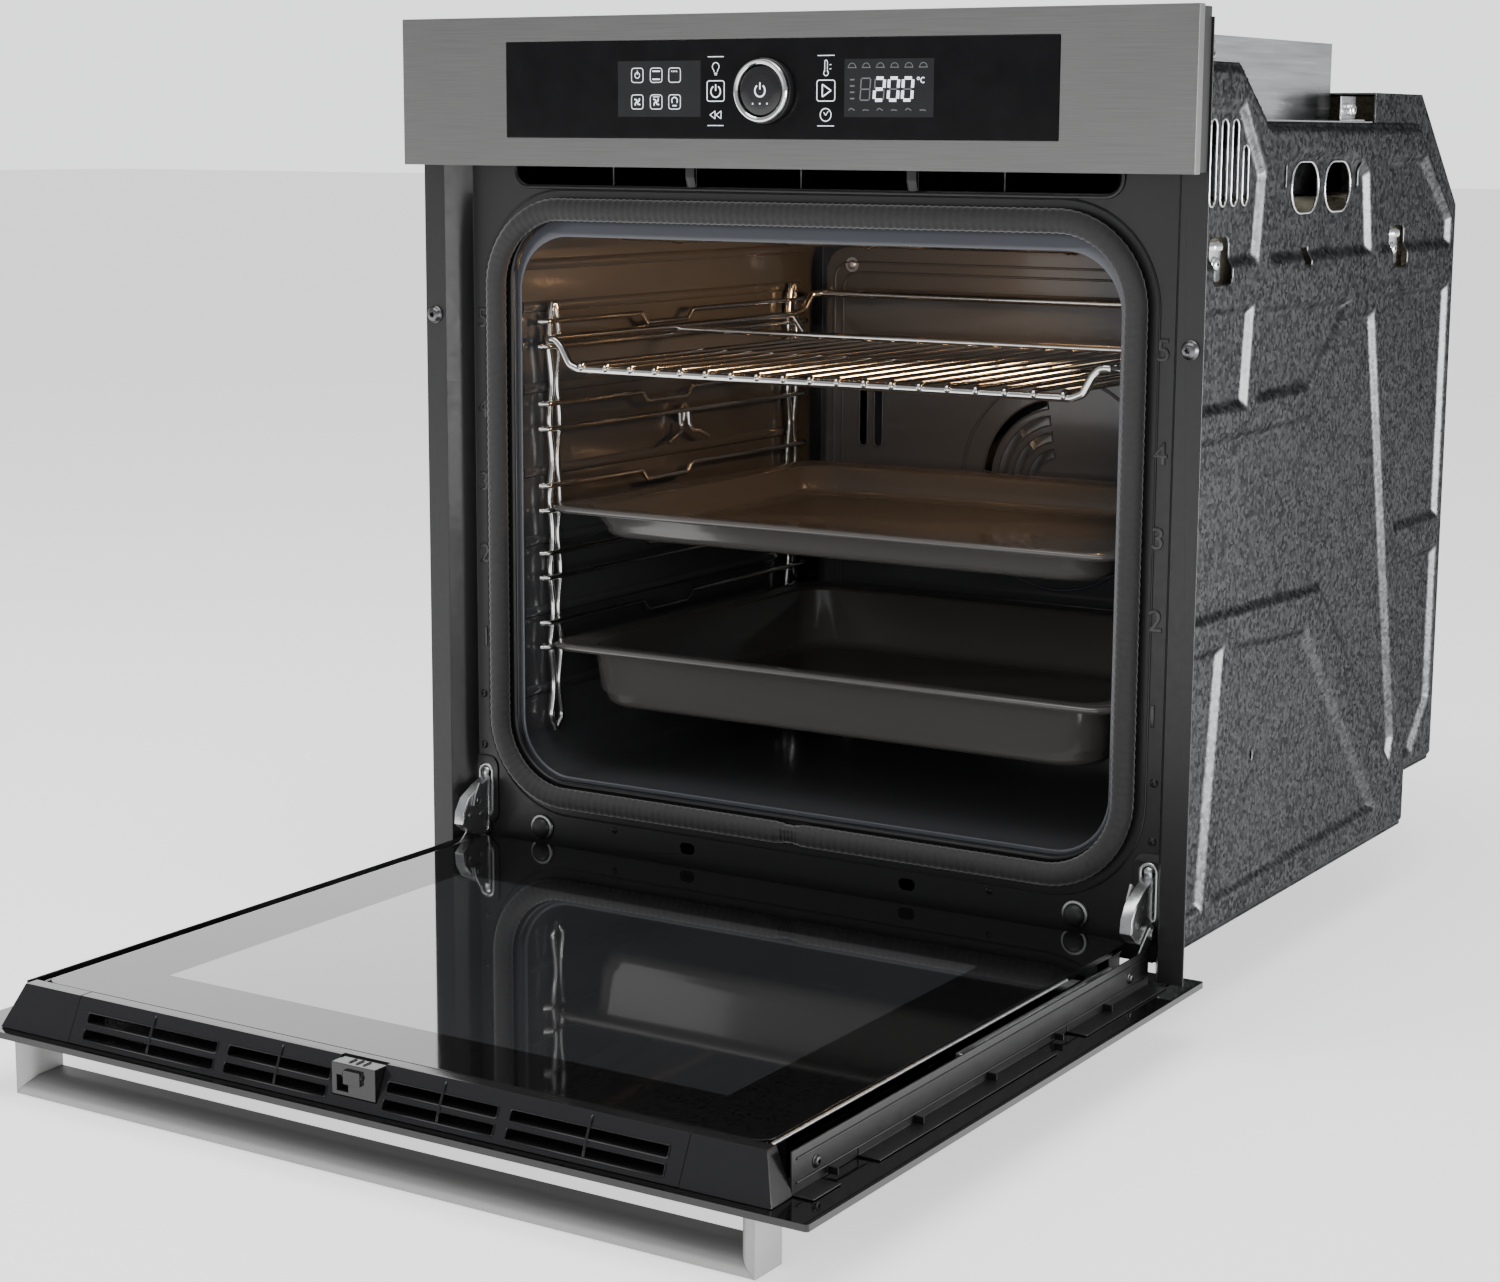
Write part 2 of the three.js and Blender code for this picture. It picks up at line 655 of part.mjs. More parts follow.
function knobRing() {
  const inner = 16.5;
  const profile = [[inner, 0], [knobRadius, 0], [knobRadius, 14.5], [knobRadius - 0.8, 16]];
  profile.push([inner + 0.8, 16], [inner, 15.2], [inner, 0]);
  return turned(profile.map(([r, h]) => [r, 16 - h]), "y", [0, frontPlane - 9, knobZ], 28);
}

function selectButton() {
  const top = frontPlane - 8;
  const cap = [[0, 0], [14.5, 0.3], [16, 1.4], [16, 8], [5, 8], [5, 16.5], [0, 16.5]];
  return turned(cap, "y", [0, top, knobZ], 24);
}

// ---- door, open: its outer face is underneath ----
function doorOuterGlass() {
  const pane = alongZ(roundedShape(-half, half, doorFrontEdge, doorHingeEdge, 2), doorOuterFace, glassTop, 3);
  const holes = [-1, 1].map((s) => bar("z", doorOuterFace - 2, glassTop + 2, [s * postMiddle, postY], 4, 12));
  return cut(pane, ...holes);
}

function doorMiddleGlass() {
  return block(-248, 248, -424, -4, -2, 2);
}

function doorInnerGlass() {
  const notch = 10;
  return alongZ(roundedShape(-windowHalf, windowHalf, trimRear + gap, doorBodyRear, notch),
    doorInnerFace - glass, doorInnerFace, 4);
}

function doorProfile() {
  const floor = glassTop + gap;
  const section = outline([
    [257.5, floor], [284, floor], [284, floor + 1], [271.2, floor + 1],
    [271.2, 14], [270, 14], [270, floor + 1], [257.5, floor + 1],
  ]);
  const rail = alongY(section, trimRear + gap, 6);
  const steps = [[-400, -360], [-150, -110]].map(([y0, y1]) => block(270.5, 290, y0, y1, floor - 1, floor + 5));
  return cut(rail, ...steps);
}

function doorTopTrim() {
  const front = doorFrontEdge + 7;
  const floor = glassTop + gap;
  const section = outline([[front, floor], [trimRear, floor], [trimRear, doorInnerFace], [-437, doorInnerFace]]);
  const reach = 216;
  const body = alongX(section, -reach, reach);
  const cuts = [];
  for (const z of [-6.5, 2.5]) {
    for (const [x0, x1] of [[-206, -104], [-96, -20], [20, 96], [104, 206]]) {
      cuts.push(block(x0, x1, front - 2, trimRear + 2, z, z + 6));
    }
  }
  cuts.push(block(-16, 16, front - 2, -434, -4, doorInnerFace + 2));
  return cut(body, ...cuts);
}

function trimCap() {
  const front = doorFrontEdge + 7;
  const floor = glassTop + gap;
  const base = [[216 + gap, front], [272, front], [272, trimRear], [216 + gap, trimRear]];
  const body = alongZ(outline(base), floor, doorInnerFace);
  const slope = alongX(outline([[front - 1, floor], [front - 1, doorInnerFace + 1], [-437, doorInnerFace + 1],
    [-437, doorInnerFace], [front, floor]].reverse()), 200, 290);
  const flank = alongY(outline([[273, floor], [272, floor], [262, doorInnerFace], [262, doorInnerFace + 1],
    [273, doorInnerFace + 1]]), front - 5, trimRear + 5);
  return cut(body, slope, flank);
}

function trimLatch() {
  const body = block(-15.4, 15.4, -446.5, -434.4, -3.5, doorInnerFace - 1);
  const hook = block(-6, 6, -448.5, -446, 4, 12);
  const recess = block(-12, -4, -448, -440, -1, 8);
  return cut(fuse(body, hook), recess);
}

const postOuter = 262;
const barThickness = 13;
const handleFace = -50; // outer face of the handle, furthest from the glass
const handleFront = doorFrontEdge + 8;
const handleBack = handleFront + 27;
const postMiddle = postOuter - barThickness / 2;
const postY = (handleFront + handleBack) / 2;

function handleBar() {
  const inner = postOuter - barThickness;
  const top = handleFace + barThickness;
  const miter = 0.25;
  const shape = outline([[-postOuter + miter, handleFace], [postOuter - miter, handleFace],
    [inner - miter, top], [-inner + miter, top]]);
  return alongY(shape, handleFront, handleBack);
}

function handlePost() {
  const inner = postOuter - barThickness;
  const shape = outline([[postOuter, handleFace + 0.25], [postOuter, doorOuterFace - gap],
    [inner, doorOuterFace - gap], [inner, handleFace + barThickness + 0.25]]);
  const stud = bar("z", doorOuterFace - 1, glassTop, [postMiddle, postY], 3.2, 12);
  return fuse(alongY(shape, handleFront, handleBack), stud);
}

// ---- hinges ----
const armHalf = 4;
const pinRadius = 2.4;

// The strap that hooks into the chassis and stays with it while the door turns on its pin.
function hingeArm() {
  const shape = outline([
    [8, 15.5], [19.4, 15.5], [19.4, 34], [43, 34], [43, 28], [48, 28], [48, 57], [19.4, 57],
    [6, 52], [-7, 45], [-13, 36], [-14, 27], [-6, 20.5], [2, 17],
  ]);
  const strap = alongX(shape, hingeX - armHalf, hingeX + armHalf);
  const rivet = bar("x", hingeX - armHalf - 2, hingeX - armHalf + 1, [2, 42], 2, 12);
  const bore = bar("x", hingeX - 6, hingeX + 6, [pivotY, pivotZ], pinRadius + 0.4, 20);
  return cut(fuse(strap, rivet), bore);
}

// The channel that sits in the door edge, with the ear and the pin that the door turns on.
function hingeChannel() {
  const low = -8.4;
  const earInner = hingeX + armHalf + 0.4;
  const earOuter = earInner + 1.5;
  const trough = cut(block(259, earOuter, -230, -26, low, 9), block(260.5, earInner, -228, -20, low + 1.5, 10));
  const round = [];
  for (let i = 0; i <= 6; i++) {
    const angle = ((-50 + 30 * i) * Math.PI) / 180;
    round.push([pivotY + 5.2 * Math.cos(angle), pivotZ + 5.2 * Math.sin(angle)]);
  }
  const ear = alongX(outline([[-60, low], [4, low], ...round, [-6, 12], [-26, 9], [-60, 9]]), earInner, earOuter);
  const pin = bar("x", hingeX - armHalf + 0.6, earInner + 0.5, [pivotY, pivotZ], pinRadius, 16);
  return fuse(trough, ear, pin);
}

// The small lever that locks the strap when the door is lifted off.
function hingeCatch() {
  const inner = hingeX - armHalf - 1.8;
  const shape = outline([[-3, 39], [5, 37], [8, 42], [8, 52], [4, 55], [-1, 47]]);
  const lever = alongX(shape, inner, hingeX - armHalf - 0.3);
  return cut(lever, bar("x", inner - 2, hingeX, [2, 42], 2.4, 16));
}

// ---- small fastenings ----
function mountingScrew() {
  const head = [[0, 0], [4.5, 0.4], [6, 2], [6, 4.6], [2.3, 4.6], [2.3, 16], [0, 16]];
  return turned(head, "y", [289, -5, 393], 16);
}

function doorBuffer() {
  const dome = [[0, 0], [5, 1.2], [8, 4], [8, 6.4], [0, 6.4]];
  return turned(dome, "y", [213, 13.2, 25], 20);
}

// ---- assembly ----
const galvanised = 0xa9abad;
const enamel = 0x17181a;
const chrome = 0xd8d8d8;
const blackGlass = 0x0b0b0d;
const blackPlastic = 0x111214;
const stainless = 0xb4b3b1;

place("base_plate", basePlate(), galvanised, 0.45, 0.9);
placePair("side_panel", sidePanel(), galvanised, 0.45, 0.9);
place("rear_cover", rearCover(), galvanised, 0.45, 0.9);
place("top_cover", topCover(), 0xc9cacb, 0.3, 0.9);
placePair("front_top_bracket", topBracket(80, sideFrontTop + 14), chrome, 0.3, 1);
placePair("rear_top_bracket", topBracket(330, sideTop + 18), chrome, 0.3, 1);
place("front_frame", frontFrame(), enamel, 0.35, 0.2);
place("door_gasket", doorGasket(), 0x2a2a2b, 0.9, 0);
place("cavity_liner", cavityLiner(), 0x2b2c2e, 0.25, 0.1);
place("insulation_blanket", insulationBlanket(), 0xd9d4c4, 0.95, 0);
place("grill_heater", grillHeater(), 0x3a3633, 0.5, 0.7);
place("bottom_heater", bottomHeater(), 0x3a3633, 0.5, 0.7);
place("ring_heater", ringHeater(), 0x3a3633, 0.5, 0.7);
place("fan_cover", fanCover(), 0x2b2c2e, 0.25, 0.1);
place("fan_blade", fanBlade(), 0x9a9a9a, 0.4, 0.9);
place("fan_motor", fanMotor(), 0x77797b, 0.5, 0.8);
place("oven_lamp", ovenLamp(), 0xfff0d0, 0.1, 0);
placePair("shelf_rack", shelfRack(), chrome, 0.15, 1);
place("wire_shelf", wireShelf(), chrome, 0.15, 1);
place("baking_tray", tray(levels[2] + wireRadius + gap, 22), 0x3b3733, 0.25, 0.1);
place("drip_pan", tray(levels[0] + wireRadius + gap, 46), 0x3b3733, 0.25, 0.1);
place("air_channel", airChannel(), galvanised, 0.45, 0.9);
place("blower_housing", blowerHousing(), galvanised, 0.45, 0.9);
place("blower_wheel", blowerWheel(), 0x9a9a9a, 0.4, 0.9);
place("blower_motor", blowerMotor(), 0x77797b, 0.5, 0.8);
place("terminal_block", terminalBlock(), 0xd8d6cf, 0.6, 0);
place("control_fascia", controlFascia(), stainless, 0.35, 1);
place("fascia_carrier", fasciaCarrier(), blackPlastic, 0.5, 0);
place("control_glass", controlGlass(), blackGlass, 0.05, 0);
place("left_display", display(-115.5, -50.3), 0x303134, 0.4, 0);
place("right_display", display(58, 122), 0x303134, 0.4, 0);
place("control_board", controlBoard(), 0x1d5a38, 0.6, 0);
place("knob_ring", knobRing(), chrome, 0.1, 1);
place("select_button", selectButton(), blackPlastic, 0.2, 0);
place("door_outer_glass", doorOuterGlass(), blackGlass, 0.05, 0);
place("door_middle_glass", doorMiddleGlass(), 0x8a9694, 0.05, 0);
place("door_inner_glass", doorInnerGlass(), blackGlass, 0.05, 0);
placePair("door_profile", doorProfile(), enamel, 0.4, 0.3);
place("door_top_trim", doorTopTrim(), blackPlastic, 0.2, 0);
placePair("trim_cap", trimCap(), blackPlastic, 0.2, 0);
place("trim_latch", trimLatch(), blackPlastic, 0.25, 0);
place("handle_bar", handleBar(), stainless, 0.4, 1);
placePair("handle_post", handlePost(), stainless, 0.4, 1);
placePair("hinge_arm", hingeArm(), chrome, 0.3, 1);
placePair("hinge_channel", hingeChannel(), chrome, 0.4, 1);
placePair("hinge_catch", hingeCatch(), chrome, 0.3, 1);
placePair("mounting_screw", mountingScrew(), 0x8e8f90, 0.4, 1);
placePair("door_buffer", doorBuffer(), chrome, 0.2, 1);

export default group;
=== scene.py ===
# A built-in electric oven with its door open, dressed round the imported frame.
import json
from math import cos, hypot, pi, radians, sin, tan

import bmesh
import bpy
import numpy as np
from mathutils import Matrix, Quaternion, Vector


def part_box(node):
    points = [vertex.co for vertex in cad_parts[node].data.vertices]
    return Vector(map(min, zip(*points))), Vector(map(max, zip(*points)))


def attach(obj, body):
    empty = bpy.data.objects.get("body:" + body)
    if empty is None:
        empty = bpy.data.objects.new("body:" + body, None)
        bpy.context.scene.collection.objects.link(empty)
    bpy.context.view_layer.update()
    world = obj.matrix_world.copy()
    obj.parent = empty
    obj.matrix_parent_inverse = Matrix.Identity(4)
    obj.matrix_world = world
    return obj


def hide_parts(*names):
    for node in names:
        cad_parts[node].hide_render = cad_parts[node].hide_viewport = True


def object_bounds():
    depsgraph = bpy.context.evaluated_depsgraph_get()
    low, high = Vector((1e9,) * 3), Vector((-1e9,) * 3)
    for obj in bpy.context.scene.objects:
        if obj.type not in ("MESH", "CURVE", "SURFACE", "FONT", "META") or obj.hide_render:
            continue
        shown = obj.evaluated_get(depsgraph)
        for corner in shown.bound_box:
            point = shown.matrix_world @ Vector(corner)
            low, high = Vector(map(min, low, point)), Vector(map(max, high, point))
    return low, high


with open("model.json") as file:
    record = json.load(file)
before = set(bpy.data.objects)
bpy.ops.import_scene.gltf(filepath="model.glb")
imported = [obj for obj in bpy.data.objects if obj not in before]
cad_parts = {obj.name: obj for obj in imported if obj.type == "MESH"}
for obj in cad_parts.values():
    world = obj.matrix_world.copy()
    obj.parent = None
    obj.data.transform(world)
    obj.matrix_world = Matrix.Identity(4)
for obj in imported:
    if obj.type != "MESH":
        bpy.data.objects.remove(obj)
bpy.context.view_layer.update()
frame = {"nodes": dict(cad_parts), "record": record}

mm = 0.001
print("frame loaded:", len(frame["nodes"]), "nodes")


# ---- shader maths ----
class Value:
    # a socket that can be added, multiplied and compared
    def __init__(self, paint, socket):
        self.paint = paint
        self.socket = socket

    def math(self, operation, first, second=None):
        sockets = {0: first} if second is None else {0: first, 1: second}
        return self.paint.add("ShaderNodeMath", {"operation": operation}, sockets)

    def __add__(self, other):
        return self.math("ADD", self, other)

    def __radd__(self, other):
        return self.math("ADD", other, self)

    def __mul__(self, other):
        return self.math("MULTIPLY", self, other)

    def __rmul__(self, other):
        return self.math("MULTIPLY", other, self)

    def __lt__(self, other):
        return self.math("LESS_THAN", self, other)

    def __gt__(self, other):
        return self.math("GREATER_THAN", self, other)


class Paint:
    # one material: its Principled shader and the nodes that feed it
    def __init__(self, name, color, roughness, **fixed):
        self.material = bpy.data.materials.new(name)
        self.material.use_nodes = True
        self.tree = self.material.node_tree
        self.shader = self.tree.nodes["Principled BSDF"]
        self.color = color
        self.shader.inputs["Base Color"].default_value = (*color, 1)
        self.shader.inputs["Roughness"].default_value = roughness
        for socket, value in fixed.items():
            self.shader.inputs[socket.replace("_", " ")].default_value = value

    def add(self, kind, settings=None, sockets=None, output=0):
        node = self.tree.nodes.new(kind)
        for key, value in (settings or {}).items():
            if key == "stops":
                self.setStops(node.color_ramp, value)
            else:
                setattr(node, key, value)
        for key, value in (sockets or {}).items():
            self.feed(node.inputs[key], value)
        return Value(self, node.outputs[output])

    def setStops(self, ramp, stops):
        while len(ramp.elements) < len(stops):
            ramp.elements.new(0.5)
        for element, (place, shade) in zip(ramp.elements, stops):
            element.position = place
            element.color = shade if hasattr(shade, "__len__") else (shade, shade, shade, 1)

    def feed(self, socket, value):
        if isinstance(value, Value):
            self.tree.links.new(value.socket, socket)
        else:
            socket.default_value = value

    def set(self, name, value):
        self.feed(self.shader.inputs[name], value)

    # where a point is in the part's own frame, stretched by a factor along each axis
    def place(self, stretch=(1, 1, 1)):
        coordinates = self.add("ShaderNodeTexCoord", output="Object")
        if stretch == (1, 1, 1):
            return coordinates
        return self.add("ShaderNodeVectorMath", {"operation": "MULTIPLY"}, {0: coordinates, 1: stretch})

    def axes(self):
        split = self.add("ShaderNodeSeparateXYZ", sockets={0: self.place()})
        return [Value(self, split.socket.node.outputs[i]) for i in range(3)]

    def noise(self, scale, detail=3, stretch=(1, 1, 1)):
        sockets = {"Vector": self.place(stretch), "Scale": scale, "Detail": detail}
        return self.add("ShaderNodeTexNoise", {}, sockets)

    def cells(self, scale, feature="F1", stretch=(1, 1, 1), output="Distance"):
        sockets = {"Vector": self.place(stretch), "Scale": scale}
        return self.add("ShaderNodeTexVoronoi", {"feature": feature}, sockets, output)

    def ramp(self, value, *stops):
        return self.add("ShaderNodeValToRGB", {"stops": stops}, {0: value})

    def blend(self, share, first, second):
        first = first if isinstance(first, Value) else (*first, 1)
        second = second if isinstance(second, Value) else (*second, 1)
        sockets = {0: share, 6: first, 7: second}
        return self.add("ShaderNodeMix", {"data_type": "RGBA"}, sockets, 2)

    # the base colour, lighter and darker by the shade value
    def tint(self, shade, low=0.8, high=1.15):
        dark = tuple(c * low for c in self.color)
        light = tuple(min(c * high, 1) for c in self.color)
        self.set("Base Color", self.blend(shade, dark, light))

    # how far the roughness swings with a value from 0 to 1
    def swing(self, value, low, high):
        self.set("Roughness", value * (high - low) + low)

    def bump(self, height, depth, strength=1.0):
        sockets = {"Strength": strength, "Distance": depth, "Height": height}
        self.set("Normal", self.add("ShaderNodeBump", {}, sockets))

    # 1 inside a rectangle of the part's frame, 0 outside
    def inside(self, first, low1, high1, second, low2, high2):
        one = (first > low1) * (first < high1)
        two = (second > low2) * (second < high2)
        return one * two


# ---- finishes ----
def galvanisedSheet():
    look = {"spangle": 380, "grain": 900, "dark": 0.4, "light": 1.75}
    paint = Paint("galvanisedSheet", (0.088, 0.09, 0.092), 0.34, Metallic=1.0,
                  Specular_Tint=(0.3, 0.3, 0.3, 1))
    crystals = paint.cells(look["spangle"], output="Color")
    shade = paint.add("ShaderNodeSeparateColor", sockets={0: crystals})
    cloud = paint.noise(14, 4)
    grain = paint.noise(look["grain"], 2)
    mix = shade * 0.5 + cloud * 0.2 + grain * 0.3
    paint.tint(mix, look["dark"], look["light"])
    paint.swing(shade * 0.5 + grain * 0.5, 0.26, 0.44)
    paint.bump(grain, 0.00003, 0.1)
    return paint


# a surface with a fine grain and soft clouds, both in its colour, the grain also in its gloss and relief
def grained(name, color, roughness, look, **fixed):
    low, high = look.get("gloss", (roughness, roughness))
    paint = Paint(name, color, roughness, **fixed)
    grain = paint.noise(*look["grain"])
    cloud = paint.noise(*look.get("cloud", (30, 2)))
    share = look.get("share", 0.6)
    paint.tint(grain * share + cloud * (1 - share), *look.get("tint", (0.8, 1.12)))
    paint.swing(grain, low, high)
    paint.bump(grain, look.get("relief", 0.04) * mm, look.get("strength", 0.25))
    return paint


def brightSheet():
    look = {"grain": (260, 3, (1, 0.04, 1)), "cloud": (9, 3), "share": 0.5, "tint": (0.8, 1.1),
            "gloss": (0.16, 0.34), "relief": 0.03}
    return grained("brightSheet", (0.74, 0.75, 0.76), 0.24, look, Metallic=1.0)


def brushedStainless():
    look = {"grain": (1500, 4, (0.012, 1, 1)), "cloud": (5, 2), "share": 0.75, "tint": (0.62, 1.3),
            "gloss": (0.36, 0.5), "strength": 0.3}
    return grained("brushedStainless", (0.215, 0.213, 0.21), 0.38, look, Metallic=1.0)


def handleStainless():
    look = {"grain": (1300, 4, (0.02, 1, 1)), "share": 1.0, "tint": (0.88, 1.08), "gloss": (0.46, 0.58),
            "relief": 0.03}
    return grained("handleStainless", (0.33, 0.327, 0.324), 0.5, look, Metallic=0.7)


def plainMetal(name, color, low, high, scale, tint=(0.8, 1.12)):
    look = {"grain": (scale, 3), "tint": tint, "gloss": (low, high)}
    return grained(name, color, low, look, Metallic=1.0)


def moulded(name, color, low, high):
    look = {"grain": (1400, 2), "cloud": (25, 2), "share": 0.5, "tint": (0.82, 1.2), "gloss": (low, high),
            "relief": 0.03, "strength": 0.3}
    return grained(name, color, low, look, Specular_IOR_Level=0.5)


def enamel(name, color, roughness, speck, gloss):
    paint = Paint(name, color, roughness, Coat_Weight=gloss, Coat_Roughness=0.08)
    peel = paint.noise(190, 2)
    dots = paint.cells(950)
    specks = paint.ramp(dots, (0.06, 1), (0.1, 0))
    pick = paint.noise(320, 0)
    share = paint.ramp(pick, (0.62, 0), (0.66, 1))
    paint.set("Base Color", paint.blend(specks * share, color, speck))
    paint.swing(peel, roughness * 0.8, roughness * 1.35)
    paint.bump(peel, 0.00012, 0.3)
    return paint


def braidedSeal():
    paint = Paint("braidedSeal", (0.016, 0.0155, 0.0155), 0.72, Sheen_Weight=0.35, Sheen_Roughness=0.4)
    threads = paint.noise(2600, 3)
    tufts = paint.noise(420, 2)
    paint.tint(threads * 0.6 + tufts * 0.4, 0.35, 2.4)
    paint.swing(threads, 0.6, 0.9)
    paint.bump(threads, 0.00012, 0.7)
    return paint


def mineralWool():
    paint = Paint("mineralWool", (0.62, 0.56, 0.40), 0.95)
    fibres = paint.noise(700, 6, (1, 0.15, 0.4))
    paint.tint(fibres, 0.6, 1.2)
    paint.bump(fibres, 0.0006, 0.9)
    return paint


def heaterSheath():
    paint = Paint("heaterSheath", (0.10, 0.082, 0.07), 0.42, Metallic=0.7)
    scorch = paint.noise(45, 4)
    heat = paint.ramp(scorch, (0.35, (0.035, 0.03, 0.028, 1)), (0.7, (0.17, 0.115, 0.08, 1)))
    paint.set("Base Color", heat)
    paint.swing(scorch, 0.3, 0.55)
    return paint


# a deep black pane: a faint dust in the roughness keeps it from being a perfect mirror
def blackGlass(name="blackGlass", coat=0.3, roughness=(0.02, 0.07)):
    paint = Paint(name, (0.005, 0.005, 0.0055), 0.04, Coat_Weight=coat, Coat_Roughness=0.02)
    dust = paint.noise(70, 4)
    fine = paint.cells(800)
    paint.swing(dust * 0.6 + fine * 0.4, *roughness)
    paint.tint(dust, 0.7, 1.5)
    return paint


def controlGlass(windows):
    paint = blackGlass("controlGlass", coat=0.0, roughness=(0.08, 0.16))
    paint.shader.inputs["Specular IOR Level"].default_value = 0.13
    x, y, z = paint.axes()
    front = y < -0.0222
    haze = paint.noise(40, 2)
    grey = paint.blend(haze, (0.017, 0.0172, 0.018), (0.023, 0.0235, 0.0245))
    mask = None
    for low, high in windows:
        one = paint.inside(x, low[0], high[0], z, low[2], high[2])
        mask = one if mask is None else mask + one
    old = paint.shader.inputs["Base Color"].links[0].from_socket
    paint.set("Base Color", paint.blend(mask * front, Value(paint, old), grey))
    return paint


def clearGlass():
    paint = Paint("clearGlass", (0.80, 0.86, 0.84), 0.0, Transmission_Weight=1.0, IOR=1.5)
    film = paint.noise(30, 3)
    paint.tint(film, 0.94, 1.04)
    paint.swing(film, 0.0, 0.03)
    return paint


def lampGlass():
    paint = Paint("lampGlass", (1.0, 0.86, 0.62), 0.12, Emission_Strength=2.5)
    ribs = paint.cells(160)
    paint.set("Emission Color", paint.ramp(ribs, (0.0, (1.0, 0.62, 0.28, 1)), (0.6, (1.0, 0.86, 0.6, 1))))
    paint.bump(ribs, 0.0008, 0.8)
    return paint


def circuitBoard():
    paint = Paint("circuitBoard", (0.015, 0.10, 0.045), 0.35)
    tracks = paint.add("ShaderNodeTexBrick", {}, {"Vector": paint.place(), "Scale": 190.0})
    paint.set("Base Color", paint.blend(tracks, (0.01, 0.075, 0.03), (0.03, 0.16, 0.07)))
    paint.bump(tracks, 0.00005, 0.4)
    return paint


def displayPanel():
    paint = Paint("displayPanel", (0.13, 0.132, 0.138), 0.25)
    grid = paint.noise(500, 1)
    paint.tint(grid, 0.85, 1.15)
    return paint


def litPrint(name, color, strength):
    paint = Paint(name, color, 0.35, Emission_Strength=strength)
    glow = paint.noise(160, 1)
    dim = tuple(c * 0.8 for c in color)
    paint.set("Emission Color", paint.blend(glow, dim, color))
    return paint


finishes = {}


def makeFinishes():
    chrome = (0.80, 0.79, 0.77)
    windows = [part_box("left_display"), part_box("right_display")]
    finishes.update({
        "galvanised_sheet": galvanisedSheet(),
        "bright_sheet": brightSheet(),
        "black_enamel": enamel("blackEnamel", (0.007, 0.007, 0.0075), 0.36, (0.02, 0.02, 0.022), 0.04),
        "cavity_enamel": enamel("cavityEnamel", (0.056, 0.057, 0.06), 0.18, (0.12, 0.125, 0.13), 0.5),
        "collar_enamel": enamel("collarEnamel", (0.052, 0.056, 0.066), 0.2, (0.13, 0.135, 0.145), 0.3),
        "tray_enamel": enamel("trayEnamel", (0.07, 0.066, 0.062), 0.17, (0.15, 0.14, 0.125), 0.5),
        "braided_seal": braidedSeal(),
        "mineral_wool": mineralWool(),
        "heater_sheath": heaterSheath(),
        "fan_aluminium": plainMetal("fanAluminium", (0.62, 0.63, 0.64), 0.3, 0.5, 500),
        "motor_steel": plainMetal("motorSteel", (0.36, 0.37, 0.39), 0.35, 0.55, 380),
        "lamp_glass": lampGlass(),
        "chrome_wire": plainMetal("chromeWire", chrome, 0.07, 0.17, 800, (0.9, 1.06)),
        "terminal_plastic": moulded("terminalPlastic", (0.66, 0.63, 0.54), 0.45, 0.62),
        "brushed_stainless": brushedStainless(),
        "handle_stainless": handleStainless(),
        "black_plastic": moulded("blackPlastic", (0.014, 0.014, 0.015), 0.38, 0.5),
        "gloss_black_plastic": moulded("glossBlackPlastic", (0.010, 0.010, 0.011), 0.12, 0.22),
        "control_glass": controlGlass(windows),
        "display_panel": displayPanel(),
        "circuit_board": circuitBoard(),
        "knob_chrome": plainMetal("knobChrome", (0.86, 0.86, 0.87), 0.06, 0.16, 900, (0.95, 1.03)),
        "hinge_steel": plainMetal("hingeSteel", (0.66, 0.665, 0.67), 0.22, 0.4, 420),
        "black_glass": blackGlass(),
        "clear_glass": clearGlass(),
        "dark_screw": plainMetal("darkScrew", (0.16, 0.16, 0.165), 0.25, 0.45, 500),
        "white_print": litPrint("whitePrint", (0.8, 0.84, 0.9), 0.8),
        "dim_print": litPrint("dimPrint", (0.12, 0.125, 0.135), 0.05),
    })
    print("finishes:", len(finishes))


# ---- camera, floor and light ----
def placed(name, data):
    made = bpy.data.objects.new(name, data)
    bpy.context.scene.collection.objects.link(made)
    return made


def makeCamera():
    shot = {"at": (0.9806, -1.6004, 0.5208), "azimuth": 32.12, "elevation": 10.12, "roll": 0.30,
            "lens": 68.3}
    camera = placed("camera", bpy.data.cameras.new("camera"))
    around, up = radians(shot["azimuth"]), radians(shot["elevation"])
    back = Vector((sin(around) * cos(up), -cos(around) * cos(up), sin(up)))
    camera.rotation_mode = "QUATERNION"
    roll = Quaternion((0, 0, 1), radians(shot["roll"]))
    camera.rotation_quaternion = (-back).to_track_quat("-Z", "Y") @ roll
    camera.location = shot["at"]
    camera.data.lens = shot["lens"]
    camera.data.sensor_width = 36
    bpy.context.scene.camera = camera


def areaLight(name, at, aim, size, power, color=(1, 1, 1), shown=("diffuse", "glossy")):
    lamp = bpy.data.lights.new(name, "AREA")
    lamp.shape = "RECTANGLE"
    lamp.size, lamp.size_y = size
    lamp.energy = power
    lamp.color = color
    holder = placed(name, lamp)
    holder.location = at
    holder.rotation_mode = "QUATERNION"
    holder.rotation_quaternion = (Vector(aim) - Vector(at)).to_track_quat("-Z", "Y")
    holder.visible_diffuse = "diffuse" in shown
    holder.visible_glossy = "glossy" in shown
    holder.visible_camera = False


